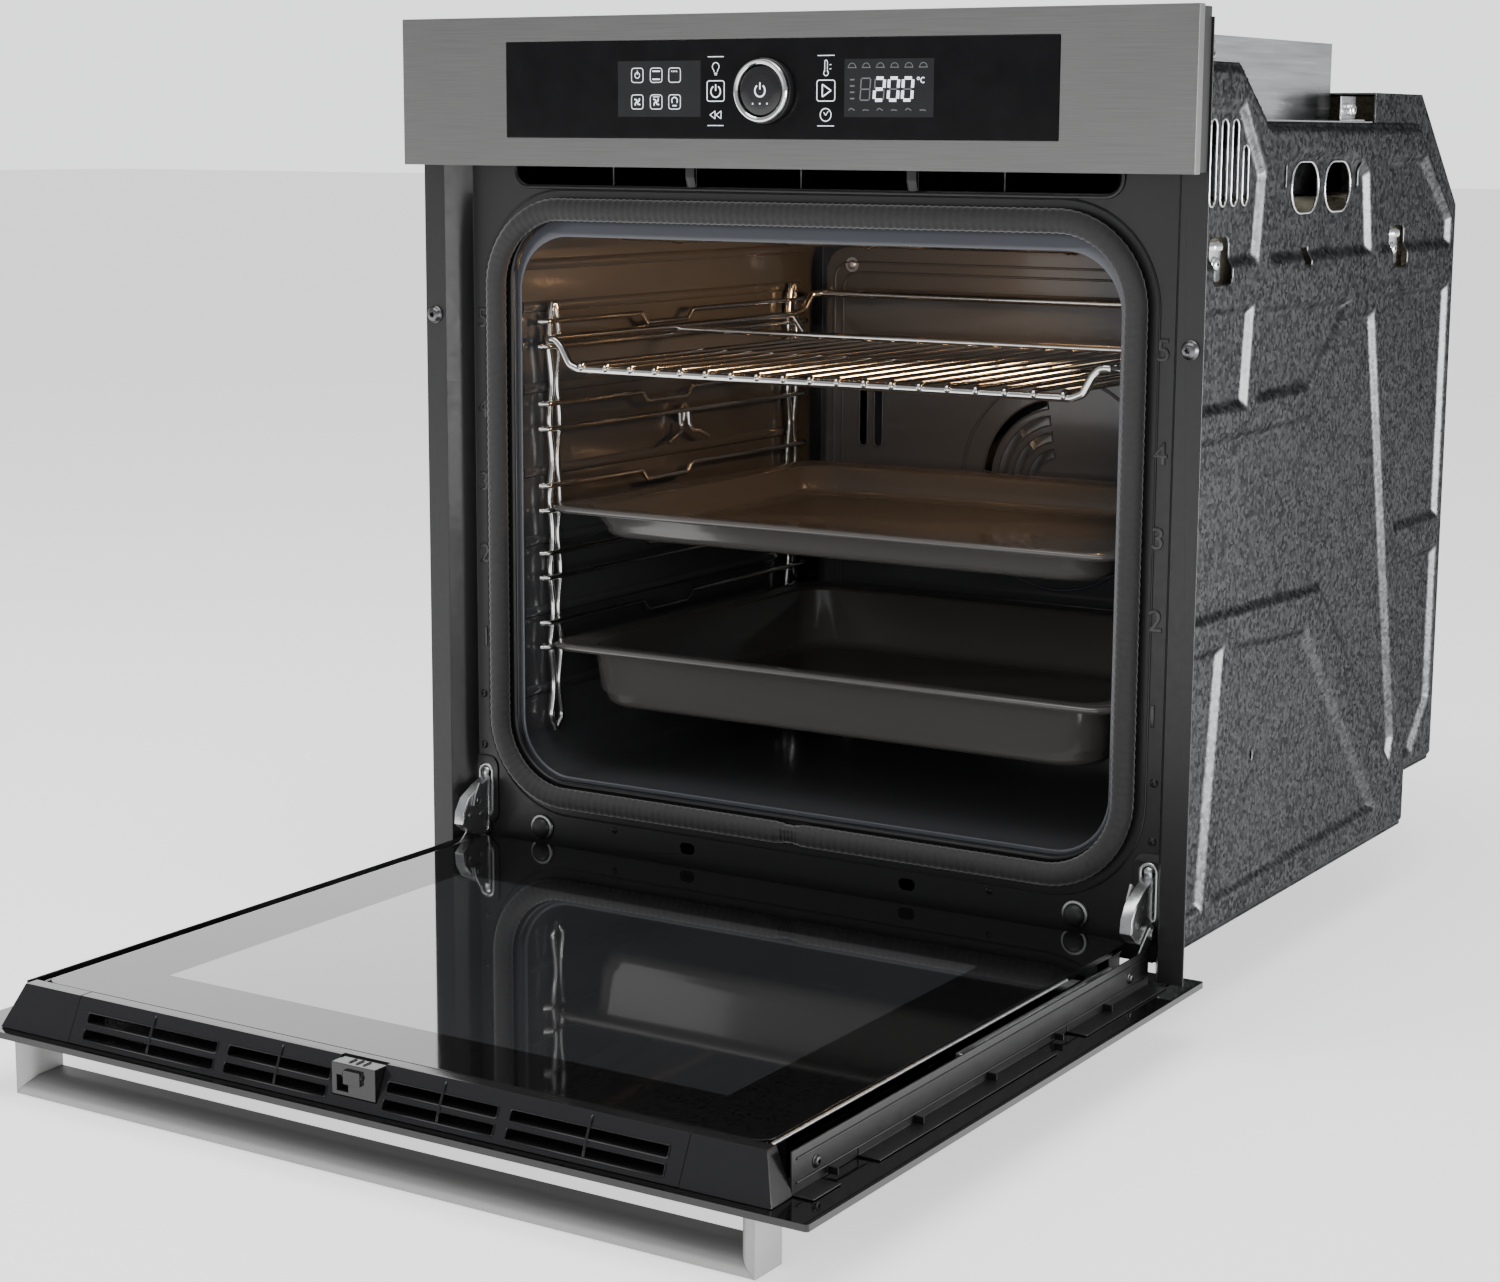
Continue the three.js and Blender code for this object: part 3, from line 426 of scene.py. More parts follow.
def makeStudio():
    studio = {"sky": (0.93, 0.94, 0.96), "skyPower": 0.42, "backdrop": 1.95, "floor": (0.9, 0.9, 0.9),
              "floorGlow": 1.05, "drop": 2 * mm}
    world = bpy.data.worlds.new("studio")
    world.use_nodes = True
    # the backdrop is white, and what it casts on the oven is softer
    nodes, links = world.node_tree.nodes, world.node_tree.links
    sky = nodes["Background"]
    backdrop = nodes.new("ShaderNodeBackground")
    for shade, power in ((sky, studio["skyPower"]), (backdrop, studio["backdrop"])):
        shade.inputs["Color"].default_value = (*studio["sky"], 1)
        shade.inputs["Strength"].default_value = power
    path = nodes.new("ShaderNodeLightPath")
    mix = nodes.new("ShaderNodeMixShader")
    links.new(path.outputs["Is Camera Ray"], mix.inputs[0])
    links.new(sky.outputs[0], mix.inputs[1])
    links.new(backdrop.outputs[0], mix.inputs[2])
    links.new(mix.outputs[0], nodes["World Output"].inputs["Surface"])
    bpy.context.scene.world = world
    areaLight("topLight", (0.1, -0.5, 2.4), (0, 0, 0.2), (2.2, 1.6), 50)
    areaLight("leftLight", (-2.3, -1.7, 1.4), (0, 0, 0.25), (1.5, 1.9), 30, shown=("diffuse",))
    areaLight("rightLight", (2.0, 0.5, 0.24), (0.27, 0.28, 0.26), (1.5, 0.6), 62, shown=("glossy",))
    areaLight("frontLight", (0.4, -3.0, 1.0), (0, 0, 0.2), (1.6, 1.0), 30, shown=("diffuse",))
    areaLight("rearLight", (-2.4, 2.8, 1.0), (-0.2, -0.3, 0), (3.4, 1.8), 42, shown=("glossy",))
    areaLight("ovenGlow", (0.10, 0.28, 0.43), (-0.24, 0.12, 0.40), (0.1, 0.04), 1.15, (1.0, 0.57, 0.26))
    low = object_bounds()[0].z - studio["drop"]
    mesh = bpy.data.meshes.new("floor")
    reach = 30
    mesh.from_pydata([(-reach, -reach, low), (reach, -reach, low), (reach, reach, low),
                      (-reach, reach, low)], [], [(0, 1, 2, 3)])
    floor = placed("floor", mesh)
    paint = Paint("paleFloor", studio["floor"], 0.9, Emission_Strength=studio["floorGlow"],
                  Specular_IOR_Level=0.0)
    paint.shader.inputs["Emission Color"].default_value = (1, 1, 1, 1)
    paint.tint(paint.noise(3, 2), 0.985, 1.01)
    mesh.materials.append(paint.material)
    print("camera, floor and light")


# ---- shapes, in millimetres until piece() makes them metres ----
class Form:
    # points and faces gathered from several bodies
    def __init__(self, points=(), faces=()):
        self.points = [Vector(p) for p in points]
        self.faces = [tuple(f) for f in faces]

    def take(self, *others):
        for other in others:
            base = len(self.points)
            self.points += [p.copy() for p in other.points]
            self.faces += [tuple(i + base for i in f) for f in other.faces]
        return self

    def turned(self, matrix):
        made = Form(self.points, self.faces)
        made.points = [matrix @ p for p in made.points]
        if matrix.determinant() < 0:
            made.faces = [tuple(reversed(f)) for f in made.faces]
        return made

    def mirrored(self):
        return self.turned(Matrix.Scale(-1, 4, (1, 0, 0)))

    # a round bar along a path of points
    def bar(self, path, radius, sides=8, closed=False, **shape):
        return self.take(tube([Vector(p) for p in path], radius, sides, closed, **shape))

    # a bead along an outline that stands upright at a depth y
    def bead(self, outline, y, radius, sides=8, **shape):
        return self.bar([(a, y, b) for a, b in outline], radius, sides, True, **shape)

    # the faces between rings of one size that follow each other
    def joinRings(self, size, closed=False, capped=False):
        count = len(self.points) // size
        for i in range(count if closed else count - 1):
            a, b = i * size, (i + 1) % count * size
            self.faces += [(a + k, a + (k + 1) % size, b + (k + 1) % size, b + k) for k in range(size)]
        if capped:
            self.faces.append(tuple(range(size - 1, -1, -1)))
            self.faces.append(tuple(range((count - 1) * size, count * size)))
        return self


def together(*forms):
    return Form().take(*forms)


def bothSides(form):
    return together(form, form.mirrored())


def size(node):
    low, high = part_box(node)
    return low / mm, high / mm


# changes a mesh by a function that takes its bmesh
def edit(mesh, change):
    work = bmesh.new()
    work.from_mesh(mesh)
    change(work)
    work.to_mesh(mesh)
    work.free()


def clean(work):
    bmesh.ops.remove_doubles(work, verts=work.verts, dist=0.002 * mm)
    bmesh.ops.recalc_face_normals(work, faces=work.faces)


def piece(name, form, body, slot, crease=35, replaces=(), paint=None, tidy=True):
    mesh = bpy.data.meshes.new(name)
    mesh.from_pydata([p * mm for p in form.points], [], form.faces)
    if tidy:
        edit(mesh, clean)
    mesh.polygons.foreach_set("use_smooth", [True] * len(mesh.polygons))
    mesh.set_sharp_from_angle(angle=radians(crease))
    mesh.materials.append(finishes[paint or slot].material)
    made = placed(name, mesh)
    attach(made, body)
    if replaces:
        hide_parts(*replaces)
    return made


def softEdge(made, width, segments=2, angle=32):
    bevel = made.modifiers.new("edge", "BEVEL")
    bevel.width = width * mm
    bevel.segments = segments
    bevel.limit_method = "ANGLE"
    bevel.angle_limit = radians(angle)
    bevel.harden_normals = True
    return made


def thicken(made, depth):
    thick = made.modifiers.new("thickness", "SOLIDIFY")
    thick.thickness = depth * mm
    thick.offset = -1


# a polyline whose bends are arcs of a radius
def bent(points, radius, steps=5, closed=False):
    points = [Vector(p) for p in points]
    count = len(points)
    made = []
    for i, corner in enumerate(points):
        if not closed and i in (0, count - 1):
            made.append(corner)
            continue
        before = points[i - 1] - corner
        after = points[(i + 1) % count] - corner
        half = before.angle(after) / 2
        reach = min(radius / max(tan(half), 1e-4), before.length * 0.49, after.length * 0.49)
        if reach < 0.05 or half > pi / 2 - 0.02:
            made.append(corner)
            continue
        start = corner + before.normalized() * reach
        end = corner + after.normalized() * reach
        for j in range(steps + 1):
            t = j / steps
            made.append(start.lerp(corner, t).lerp(corner.lerp(end, t), t))
    return made


# a round or oval bar along a path; swell gives the radius at a share of its length
def tube(path, radius, sides=10, closed=False, oval=1.0, up=None, swell=None):
    count = len(path)
    made = Form()
    normal = None
    for i, here in enumerate(path):
        before = path[i - 1] if i or closed else here
        after = path[(i + 1) % count] if i < count - 1 or closed else here
        along = (after - before).normalized()
        if normal is None or up:
            normal = Vector(up) if up else along.orthogonal()
        normal = (normal - along * normal.dot(along)).normalized()
        across = along.cross(normal)
        size = radius * (swell(i / max(count - 1, 1)) if swell else 1)
        for k in range(sides):
            angle = 2 * pi * k / sides
            made.points.append(here + normal * size * cos(angle) + across * size * oval * sin(angle))
    return made.joinRings(sides, closed, capped=not closed)


# a closed profile of [radius, height], turned about an axis through a point
def lathe(profile, axis, centre, segments=40):
    made = Form()
    rows = len(profile)
    for i in range(segments):
        angle = 2 * pi * i / segments
        for r, h in profile:
            spot = {"x": (h, r * cos(angle), r * sin(angle)), "y": (r * cos(angle), h, r * sin(angle)),
                    "z": (r * cos(angle), r * sin(angle), h)}[axis]
            made.points.append(Vector(spot) + Vector(centre))
    for i in range(segments):
        a, b = i * rows, ((i + 1) % segments) * rows
        for k in range(rows - 1):
            made.faces.append((a + k, a + k + 1, b + k + 1, b + k))
    return made


def block(x0, x1, y0, y1, z0, z1):
    points = [(x, y, z) for x in (x0, x1) for y in (y0, y1) for z in (z0, z1)]
    faces = [(0, 1, 3, 2), (4, 6, 7, 5), (0, 4, 5, 1), (2, 3, 7, 6), (0, 2, 6, 4), (1, 5, 7, 3)]
    return Form(points, faces)


def roundRect(a0, a1, b0, b1, r, steps=8):
    made = []
    corners = ((a1 - r, b0 + r, -90), (a1 - r, b1 - r, 0), (a0 + r, b1 - r, 90), (a0 + r, b0 + r, 180))
    for ca, cb, start in corners:
        for j in range(steps + 1):
            angle = radians(start + 90 * j / steps)
            made.append((ca + r * cos(angle), cb + r * sin(angle)))
    return made


# rings of equal count joined in turn
def loft(rings, capped=False):
    return Form([p for ring in rings for p in ring]).joinRings(len(rings[0]), capped=capped)


# the solid that a curve or a text makes
def solidOf(curve):
    holder = placed(curve.name, curve)
    bpy.context.view_layer.update()
    mesh = bpy.data.meshes.new_from_object(holder.evaluated_get(bpy.context.evaluated_depsgraph_get()))
    made = Form([v.co for v in mesh.vertices], [f.vertices for f in mesh.polygons])
    bpy.data.objects.remove(holder)
    bpy.data.curves.remove(curve)
    bpy.data.meshes.remove(mesh)
    return made


# a flat plate with holes and rounded edges; spot turns (a, b, height) into a point
def plate(outline, holes, depth, edge, spot):
    curve = bpy.data.curves.new("plate", "CURVE")
    curve.dimensions = "2D"
    curve.fill_mode = "BOTH"
    for ring in [outline, *holes]:
        spline = curve.splines.new("POLY")
        spline.points.add(len(ring) - 1)
        for point, (a, b) in zip(spline.points, ring):
            point.co = (a, b, 0, 1)
        spline.use_cyclic_u = True
    curve.extrude = max(depth / 2 - edge, 0)
    curve.bevel_depth = edge
    curve.bevel_resolution = 2
    made = solidOf(curve)
    made.points = [Vector(spot(p.x, p.y, p.z + depth / 2)) for p in made.points]
    return made


def alongX(x):
    return lambda a, b, h: (x + h, a, b)


def alongY(y):
    return lambda a, b, h: (a, y + h, b)


# a round-headed screw with a six-lobed socket, its head facing a direction
def screwHead(at, facing, radius, height=None):
    height = height or radius * 0.62
    profile = [(1.12, 0), (1.12, 0.18), (1, 0.3), (0.94, 0.62), (0.72, 0.92), (0.5, 1)]
    turns = [2 * pi * k / 24 for k in range(24)]
    rings = [[Vector((r * radius * cos(a), r * radius * sin(a), h * height)) for a in turns]
             for r, h in profile]
    lobes = [radius * (0.36 + 0.07 * cos(6 * a)) for a in turns]
    rings += [[Vector((r * cos(a), r * sin(a), h)) for a, r in zip(turns, lobes)]
              for h in (height, height * 0.35)]
    head = loft(rings, capped=True)
    turn = Vector(facing).to_track_quat("Z", "Y").to_matrix().to_4x4()
    return head.turned(Matrix.Translation(at) @ turn)


def screws(spots, facing, radius, height=None):
    return together(*[screwHead(at, facing, radius, height) for at in spots])


# ---- seal and front frame ----
def doorSeal():
    seal = {"tubeHalf": 7.4, "depth": 5.4, "strands": 14, "pitch": 11.0, "relief": 0.55, "step": 1.5}
    low, high = size("door_gasket")
    inset = seal["tubeHalf"] + 0.6
    corner = 63 - inset
    rough = roundRect(low.x + inset, high.x - inset, low.z + inset, high.z - inset, corner, 24)
    path = []
    for i, (a, b) in enumerate(rough):
        c, d = rough[(i + 1) % len(rough)]
        steps = max(1, round(hypot(c - a, d - b) / seal["step"]))
        path += [Vector((a + (c - a) * j / steps, 0, b + (d - b) * j / steps)) for j in range(steps)]
    centreY, gatherZ = (low.y + high.y) / 2, low.z + inset
    made, sides, count, travel = Form(), 28, len(path), 0.0
    length = sum((path[(i + 1) % count] - path[i]).length for i in range(count))
    turns = round(length / seal["pitch"])
    for i, here in enumerate(path):
        along = (path[(i + 1) % count] - path[i - 1]).normalized()
        across = Vector((along.z, 0, -along.x))
        phase = 2 * pi * turns * travel / length
        gather = max(0.0, 1 - abs(here.x) / 13) if here.z < gatherZ + 1 else 0.0
        pinch = 1 - 0.22 * gather * gather * (3 - 2 * gather)
        for k in range(sides):
            angle = 2 * pi * k / sides
            twist = seal["strands"] / 2 * angle
            lift = seal["relief"] * cos(twist + phase) * cos(twist - phase) + 0.5 * gather * cos(9 * angle)
            depth = Vector((0, centreY + (seal["depth"] * pinch + lift) * sin(angle), 0))
            made.points.append(here + across * (seal["tubeHalf"] * pinch + lift) * cos(angle) + depth)
        travel += (path[(i + 1) % count] - here).length
    made.joinRings(sides, closed=True)
    piece("braided_door_seal", made, "chassis", "braided_seal", 180, ["door_gasket"])
    stitches = Form()
    for x in (-6, -3, 0, 3, 6):
        turns = [j * 0.2 - 0.8 for j in range(9)]
        stitches.bar([(x + 0.8 * sin(2 * t + 1.6), centreY - 5.6 * cos(t), gatherZ + 6.2 * sin(t))
                      for t in turns], 0.45, 6)
    piece("seal_stitches", stitches, "chassis", "braided_seal", 180)
    print("seal:", count * sides, "points")


def frontFrame():
    lips = {"face": 20.0, "mouth": 1.7, "mouthRing": (-237, 237, 59, 463, 46, 16), "outlet": 2.0,
            "outletRing": (-232.5, 232.5, 483.5, 511.5, 11.5, 8), "fold": 0.8,
            "foldRing": (-259.5, 259.5, 36, 481.5, 68, 14), "ribs": (-85, 85), "rib": 1.5, "screwX": 265,
            "screwZ": (80, 118), "screw": 2.6, "lowX": (-150, 150), "lowZ": 31, "lowScrew": 2.2}
    low, high = size("front_frame")
    face, front = lips["face"], (0, -1, 0)
    form = Form().bead(roundRect(*lips["mouthRing"]), face + 0.7, lips["mouth"], 10)
    form.bead(roundRect(*lips["outletRing"]), face + 0.2, lips["outlet"], 10, oval=0.8)
    form.bead(roundRect(*lips["foldRing"]), face, lips["fold"])
    for x in lips["ribs"]:
        rib = [(x, face - 0.4, 485), (x, face - 2.4, 491), (x, face - 2.4, 505), (x, face, 511)]
        form.bar(bent(rib, 5), lips["rib"], oval=2.4, up=(0, 1, 0))
    piece("frame_lips", form, "chassis", "black_enamel", 40)
    spots = [(s * lips["screwX"], face, z) for s in (-1, 1) for z in lips["screwZ"]]
    large = screws(spots, front, lips["screw"])
    small = screws([(x, face, lips["lowZ"]) for x in lips["lowX"]], front, lips["lowScrew"])
    piece("frame_screws", together(large, small), "chassis", "black_enamel", 40)
    edging = Form()
    for s in (-1, 1):
        edging.bar([(s * (high.x - 0.6), 0.5, z) for z in (low.z + 0.7, 250, high.z - 0.7)], 0.6, 8)
    piece("flange_edges", edging, "chassis", "black_enamel", 60)


# the five shelf levels, as plain numbers pressed in the frame
def levelNumbers():
    marks = {"height": 15.0, "x": 262.5, "levels": (160, 221, 273, 326, 390), "rise": 0.9}
    form = Form()
    for i, z in enumerate(marks["levels"]):
        text = bpy.data.curves.new("number", "FONT")
        text.body = str(i + 1)
        text.size = marks["height"] * 1.32
        text.align_x, text.align_y = "CENTER", "CENTER"
        text.extrude = marks["rise"] / 2
        text.bevel_depth = 0.3
        text.resolution_u = 3
        number = solidOf(text)
        for s in (-1, 1):
            form.take(Form([(p.x + s * marks["x"], 20 - p.z, p.y + z) for p in number.points], number.faces))
    piece("level_numbers", form, "chassis", "black_enamel", 30, paint="gloss_black_plastic")


def flangeScrews():
    form = Form()
    for s in (-1, 1):
        low, high = size(("left" if s < 0 else "right") + "_mounting_screw")
        middle = (low + high) / 2
        form.take(screwHead((middle.x, -0.2, middle.z), (0, -1, 0), 5.4, 4.4))
        form.take(lathe([(0, 0), (2.3, 0), (2.3, 10), (0, 11)], "y", (middle.x, 0, middle.z), 16))
    stoodFor = ["left_mounting_screw", "right_mounting_screw"]
    piece("flange_screws", form, "chassis", "hinge_steel", 40, stoodFor, "dark_screw")


# ---- pressed side panels ----
def panelFields():
    return [
        [(31, 438), (141, 438), (149, 498), (112, 543), (31, 543)],
        [(160, 438), (350, 438), (339, 498), (324, 505), (300, 512), (205, 512), (168, 503)],
        [(368, 438), (519, 438), (519, 462), (455, 508), (372, 508)],
        [(31, 346), (130, 346), (137, 415), (31, 415)],
        [(146, 348), (238, 350), (322, 411), (152, 413)],
        [(378, 411), (519, 413), (519, 232), (420, 232)],
        [(425, 211), (519, 213), (519, 92), (482, 52), (464, 52)],
        [(31, 333), (246, 335), (338, 401), (360, 401), (441, 75), (434, 52), (276, 206), (150, 210),
         (31, 212)],
        [(31, 196), (106, 196), (84, 20), (31, 20)],
        [(122, 194), (252, 186), (412, 24), (98, 20)],
    ]


# distance inside a polygon, negative outside, for arrays of points
def insideDistance(polygon, y, z):
    inside = np.zeros(y.shape, bool)
    nearest = np.full(y.shape, 1e9)
    count = len(polygon)
    for i in range(count):
        (y0, z0), (y1, z1) = polygon[i], polygon[(i + 1) % count]
        dy, dz = y1 - y0, z1 - z0
        share = np.clip(((y - y0) * dy + (z - z0) * dz) / (dy * dy + dz * dz), 0, 1)
        nearest = np.minimum(nearest, np.hypot(y - y0 - share * dy, z - z0 - share * dz))
        if dz:
            crosses = ((z0 > z) != (z1 > z)) & (y < dy * (z - z0) / dz + y0)
            inside ^= crosses
    return np.where(inside, nearest, -nearest)


# how far a point lies on the pressed fields, from 0 to 1, with a smooth slope round each
def fieldRise(y, z, slope):
    rise = np.zeros(y.shape)
    for field in panelFields():
        share = np.clip(insideDistance(field, y, z) / slope, 0, 1)
        rise = np.maximum(rise, share * share * (3 - 2 * share))
    return rise


def stadium(y, z0, z1, width, steps=8):
    r = width / 2
    return roundRect(y - r, y + r, z0, z1, r - 0.01, steps)


clipWindows = (83, 408)


def panelHoles():
    holes = [stadium(34 + 17.3 * i, 477, 531, 9.6) for i in range(5)]
    holes.append(stadium(121, 477, 515, 9))
    holes += [roundRect(y - 24, y + 24, 470, 504, 16.9) for y in (225, 285)]
    holes += [roundRect(y - 15, y + 15, 428.5, 457.5, 5) for y in clipWindows]
    holes += [stadium(y, 487, 503, 3.4) for y in (190, 322)]
    holes.append(roundRect(222, 234, 436, 447, 1.5))
    holes.append(stadium(167, 107, 113, 3.6))
    return holes


def sidePanels():
    press = {"grid": 1.6, "lift": 3.6, "slope": 7.6, "thick": 1.0, "rim": 0.75}
    low, high = size("right_side_panel")
    edge = [(22, 0), (473, 0), (473, 41), (531, 41), (531, 460), (445, 530), (156, 530), (107, 566),
            (22, 566)]
    holes = panelHoles()
    step = press["grid"]
    ys = np.arange(low.y, high.y + step, step)
    zs = np.arange(low.z, high.z + step, step)
    y, z = np.meshgrid(ys, zs, indexing="ij")
    # points near an outline move onto it, so that each cut runs clean
    for ring in [edge, *holes]:
        reach = step * 0.62
        near = np.abs(insideDistance(ring, y, z)) < reach
        for i, j in zip(*np.nonzero(near)):
            y[i, j], z[i, j] = onOutline(ring, y[i, j], z[i, j])
    rise = fieldRise(y, z, press["slope"])
    border = np.clip((insideDistance(edge, y, z) - 2.5) / 3, 0, 1)
    centreY, centreZ = (y[:-1, :-1] + y[1:, 1:]) / 2, (z[:-1, :-1] + z[1:, 1:]) / 2
    keep = insideDistance(edge, centreY, centreZ) > 0
    for ring in holes:
        keep &= insideDistance(ring, centreY, centreZ) < 0
    x = 270 + press["lift"] * (1 - rise) * border
    wide = y.shape[1]
    form = Form(list(zip(x.ravel(), y.ravel(), z.ravel())))
    form.faces = [(i * wide + j, (i + 1) * wide + j, (i + 1) * wide + j + 1, i * wide + j + 1)
                  for i, j in zip(*np.nonzero(keep))]
    rims = Form()
    for ring in holes[:8]:
        level = fieldRise(*np.array(ring).T, press["slope"])
        spots = [(270.2 + press["lift"] * (1 - h), a, b) for (a, b), h in zip(ring, level)]
        rims.bar(spots, press["rim"], 8, True)
    for name, outward in (("right", 1), ("left", -1)):
        skin, edges = (form, rims) if outward > 0 else (form.mirrored(), rims.mirrored())
        made = piece(name + "_pressed_side", skin, "chassis", "galvanised_sheet", 50, [name + "_side_panel"])
        edit(made.data, lambda work: clearLoose(work, outward))
        thicken(made, press["thick"])
        # the rolled lips round the vent holes are real pressings, but they take the bright sheet in place of
        # the galvanised one: a painted highlight along each lip
        piece(name + "_side_rims", edges, "chassis", "galvanised_sheet", 60, paint="bright_sheet")
    print("side panels:", len(form.faces), "faces each")


def onOutline(ring, y, z):
    best = None
    for i, (y0, z0) in enumerate(ring):
        y1, z1 = ring[(i + 1) % len(ring)]
        dy, dz = y1 - y0, z1 - z0
        share = min(max(((y - y0) * dy + (z - z0) * dz) / (dy * dy + dz * dz + 1e-12), 0), 1)
        spot = (y0 + share * dy, z0 + share * dz)
        away = hypot(y - spot[0], z - spot[1])
        if best is None or away < best[0]:
            best = (away, spot)
    return best[1]


# drops the points that no face uses and turns the faces outward, toward a side of x
def clearLoose(work, outward):
    bmesh.ops.delete(work, geom=[v for v in work.verts if not v.link_faces], context="VERTS")
    bmesh.ops.recalc_face_normals(work, faces=work.faces)
    if sum(f.normal.x * f.calc_area() for f in work.faces) * outward < 0:
        bmesh.ops.reverse_faces(work, faces=work.faces)


# spring nuts and their screws in the clip windows, and the folded tabs' screws
def sideFittings():
    fit = {"nutX": 266.4, "nut": 4.4, "tab": 4.3, "rear": 2.6, "facing": (1, 0, 0)}
    steel, tips = Form(), Form()
    for y in clipWindows:
        steel.take(plate(roundRect(y - 12, y + 9, 430, 455, 3), [], 1.0, 0.3, alongX(fit["nutX"])))
        spring = [(268, y - 12, 452), (271, y - 9, 452), (271, y + 2, 452), (268.5, y + 5, 452)]
        steel.bar(bent(spring, 2), 1.0, oval=2.6, up=fit["facing"])
        tips.take(screwHead((267.6, y - 1, 441), fit["facing"], fit["nut"]))
    for node in ("right_front_top_bracket", "right_rear_top_bracket"):
        low, high = size(node)
        tips.take(screwHead((high.x - 4.6, (low.y + high.y) / 2, high.z - 9), fit["facing"], fit["tab"]))
    tips.take(screws([(270.6, 522, z) for z in (460, 290, 100, 56)], fit["facing"], fit["rear"]))
    piece("side_spring_nuts", bothSides(steel), "chassis", "hinge_steel", 40)
    piece("side_screws", bothSides(tips), "chassis", "hinge_steel", 40)


# ---- racks, shelf and trays ----
def shelfRacks():
    rack = {"stand": 2.3, "runner": 1.9, "wave": 1.7, "pitch": 55, "kink": 7.0, "rise": 18,
            "levels": (152, 203, 252, 311, 370), "standX": 228.1, "runnerX": 224.5}
    low, high = size("right_shelf_rack")
    standX, runnerX, radius = rack["standX"], rack["runnerX"], rack["runner"]
    form = Form()
    # each stand is a closed loop of wire whose sides wave between the levels
    rows = [low.z + 3 + (high.z - low.z - 12) * i / 60 for i in range(61)]
    for middle in (58, 387):
        half = [4.6 + rack["wave"] * cos(2 * pi * (z - rack["levels"][0]) / rack["pitch"]) for z in rows]
        front, rear = ([(standX, middle + s * h, z) for h, z in zip(half, rows)] for s in (-1, 1))
        top = [(standX, middle + a, high.z + b) for a, b in ((-3.2, -5), (-1.5, 0), (1.5, 0), (3.2, -5))]
        foot = [(standX, middle + a, low.z + b) for a, b in ((3.4, 0), (1.2, -4), (-1.2, -4), (-3.4, 0))]
        form.bar(front + top + rear[::-1] + foot, rack["stand"], 10, True)
    # a straight runner at each level, and over it one with a kink
    for level in rack["levels"]:
        upper = level + rack["rise"]
        lower = upper - rack["kink"]
        for z, kink in ((level, []), (upper, [(165, upper), (172, lower), (226, lower), (233, upper)])):
            wire = [(standX + 1.5, 41, z), (runnerX, 46, z), *[(runnerX, y, b) for y, b in kink],
                    (runnerX, 404, z), (standX + 1.5, 409, z)]
            form.bar(bent(wire, 4, 4), radius, 10)
            for y in (43.5, 406.5):
                form.take(lathe([(0, -2.8), (1.9, -2.2), (2.7, 0), (1.9, 2.2), (0, 2.8)], "y",
                                (standX + 0.4, y, z), 12))
    # the hook in the middle and its washer on the wall
    half = [(0, 200, 288), (0, 214, 294), (1, 220, 294), (3, 222, 299), (4, 222, 310)]
    hook = half + [(4, 228, 316)] + [(x, 456 - y, z) for x, y, z in reversed(half)]
    form.bar(bent([(runnerX + x, y, z) for x, y, z in hook], 3, 3), radius, 10)
    form.take(lathe([(0, 0), (6, 0), (6, 1.2), (3.4, 2.6), (0, 2.8)], "x", (229.6, 228, 308), 24))
    piece("right_rack_wires", form, "chassis", "chrome_wire", 50, ["right_shelf_rack"])
    piece("left_rack_wires", form.mirrored(), "chassis", "chrome_wire", 50, ["left_shelf_rack"])


def wireShelf():
    grid = {"rods": 19, "span": 376, "rod": 1.9, "rail": 2.9, "curl": 2.4, "z": 376.1, "railX": 222,
            "drop": 20, "backRise": 17, "front": 38, "rear": 402}
    shelfZ, railX, front, rear = grid["z"], grid["railX"], grid["front"], grid["rear"]
    down, back = shelfZ - grid["drop"], shelfZ + grid["backRise"]
    half = [(192, front, down), (200, front, down + 3), (207, front, shelfZ - 5), (212, front, shelfZ),
            (railX - 4, front, shelfZ), (railX, front + 6, shelfZ), (railX, rear - 26, shelfZ),
            (railX - 5, rear - 16, shelfZ + 4), (railX - 6.5, rear - 6, back - 1), (railX - 13, rear, back)]
    loop = half + [(-x, y, z) for x, y, z in reversed(half)]
    form = tube(bent(loop, 7, 6, True), grid["rail"], 12, True)
    rearBar = rear - 24
    cross = [(-railX, rearBar, shelfZ), (-208, rearBar, down + 2), (208, rearBar, down + 2),
             (railX, rearBar, shelfZ)]
    form.bar(bent(cross, 9, 5), grid["rail"] * 0.9, 10)
    form.bar([(x, 210, shelfZ - 2) for x in (-railX, 0, railX)], 2.4, 10)
    # each rod dips at the front and ends in a small ball
    pitch, curl = grid["span"] / (grid["rods"] - 1), grid["curl"]
    tip = [(max(curl * sin(pi * i / 6), 0.0), -curl * cos(pi * i / 6)) for i in range(7)]
    for i in range(grid["rods"]):
        x = -grid["span"] / 2 + pitch * i
        lift = down + grid["rail"] + grid["rod"] - 1
        rod = [(x, rearBar + 3, lift + 1), (x, rearBar - 4, lift), (x, front + 3, lift),
               (x, front - 1.6, lift + 0.2), (x, front - 3.6, lift - 1.6), (x, front - 3.9, lift - 3.2)]
        form.bar(bent(rod, 2.2, 3), grid["rod"], 9)
        form.take(lathe(tip, "z", (x, front - 3.3, lift - 2.4), 12))
    piece("wire_shelf_grid", form, "wire_shelf", "chrome_wire", 50, ["wire_shelf"])


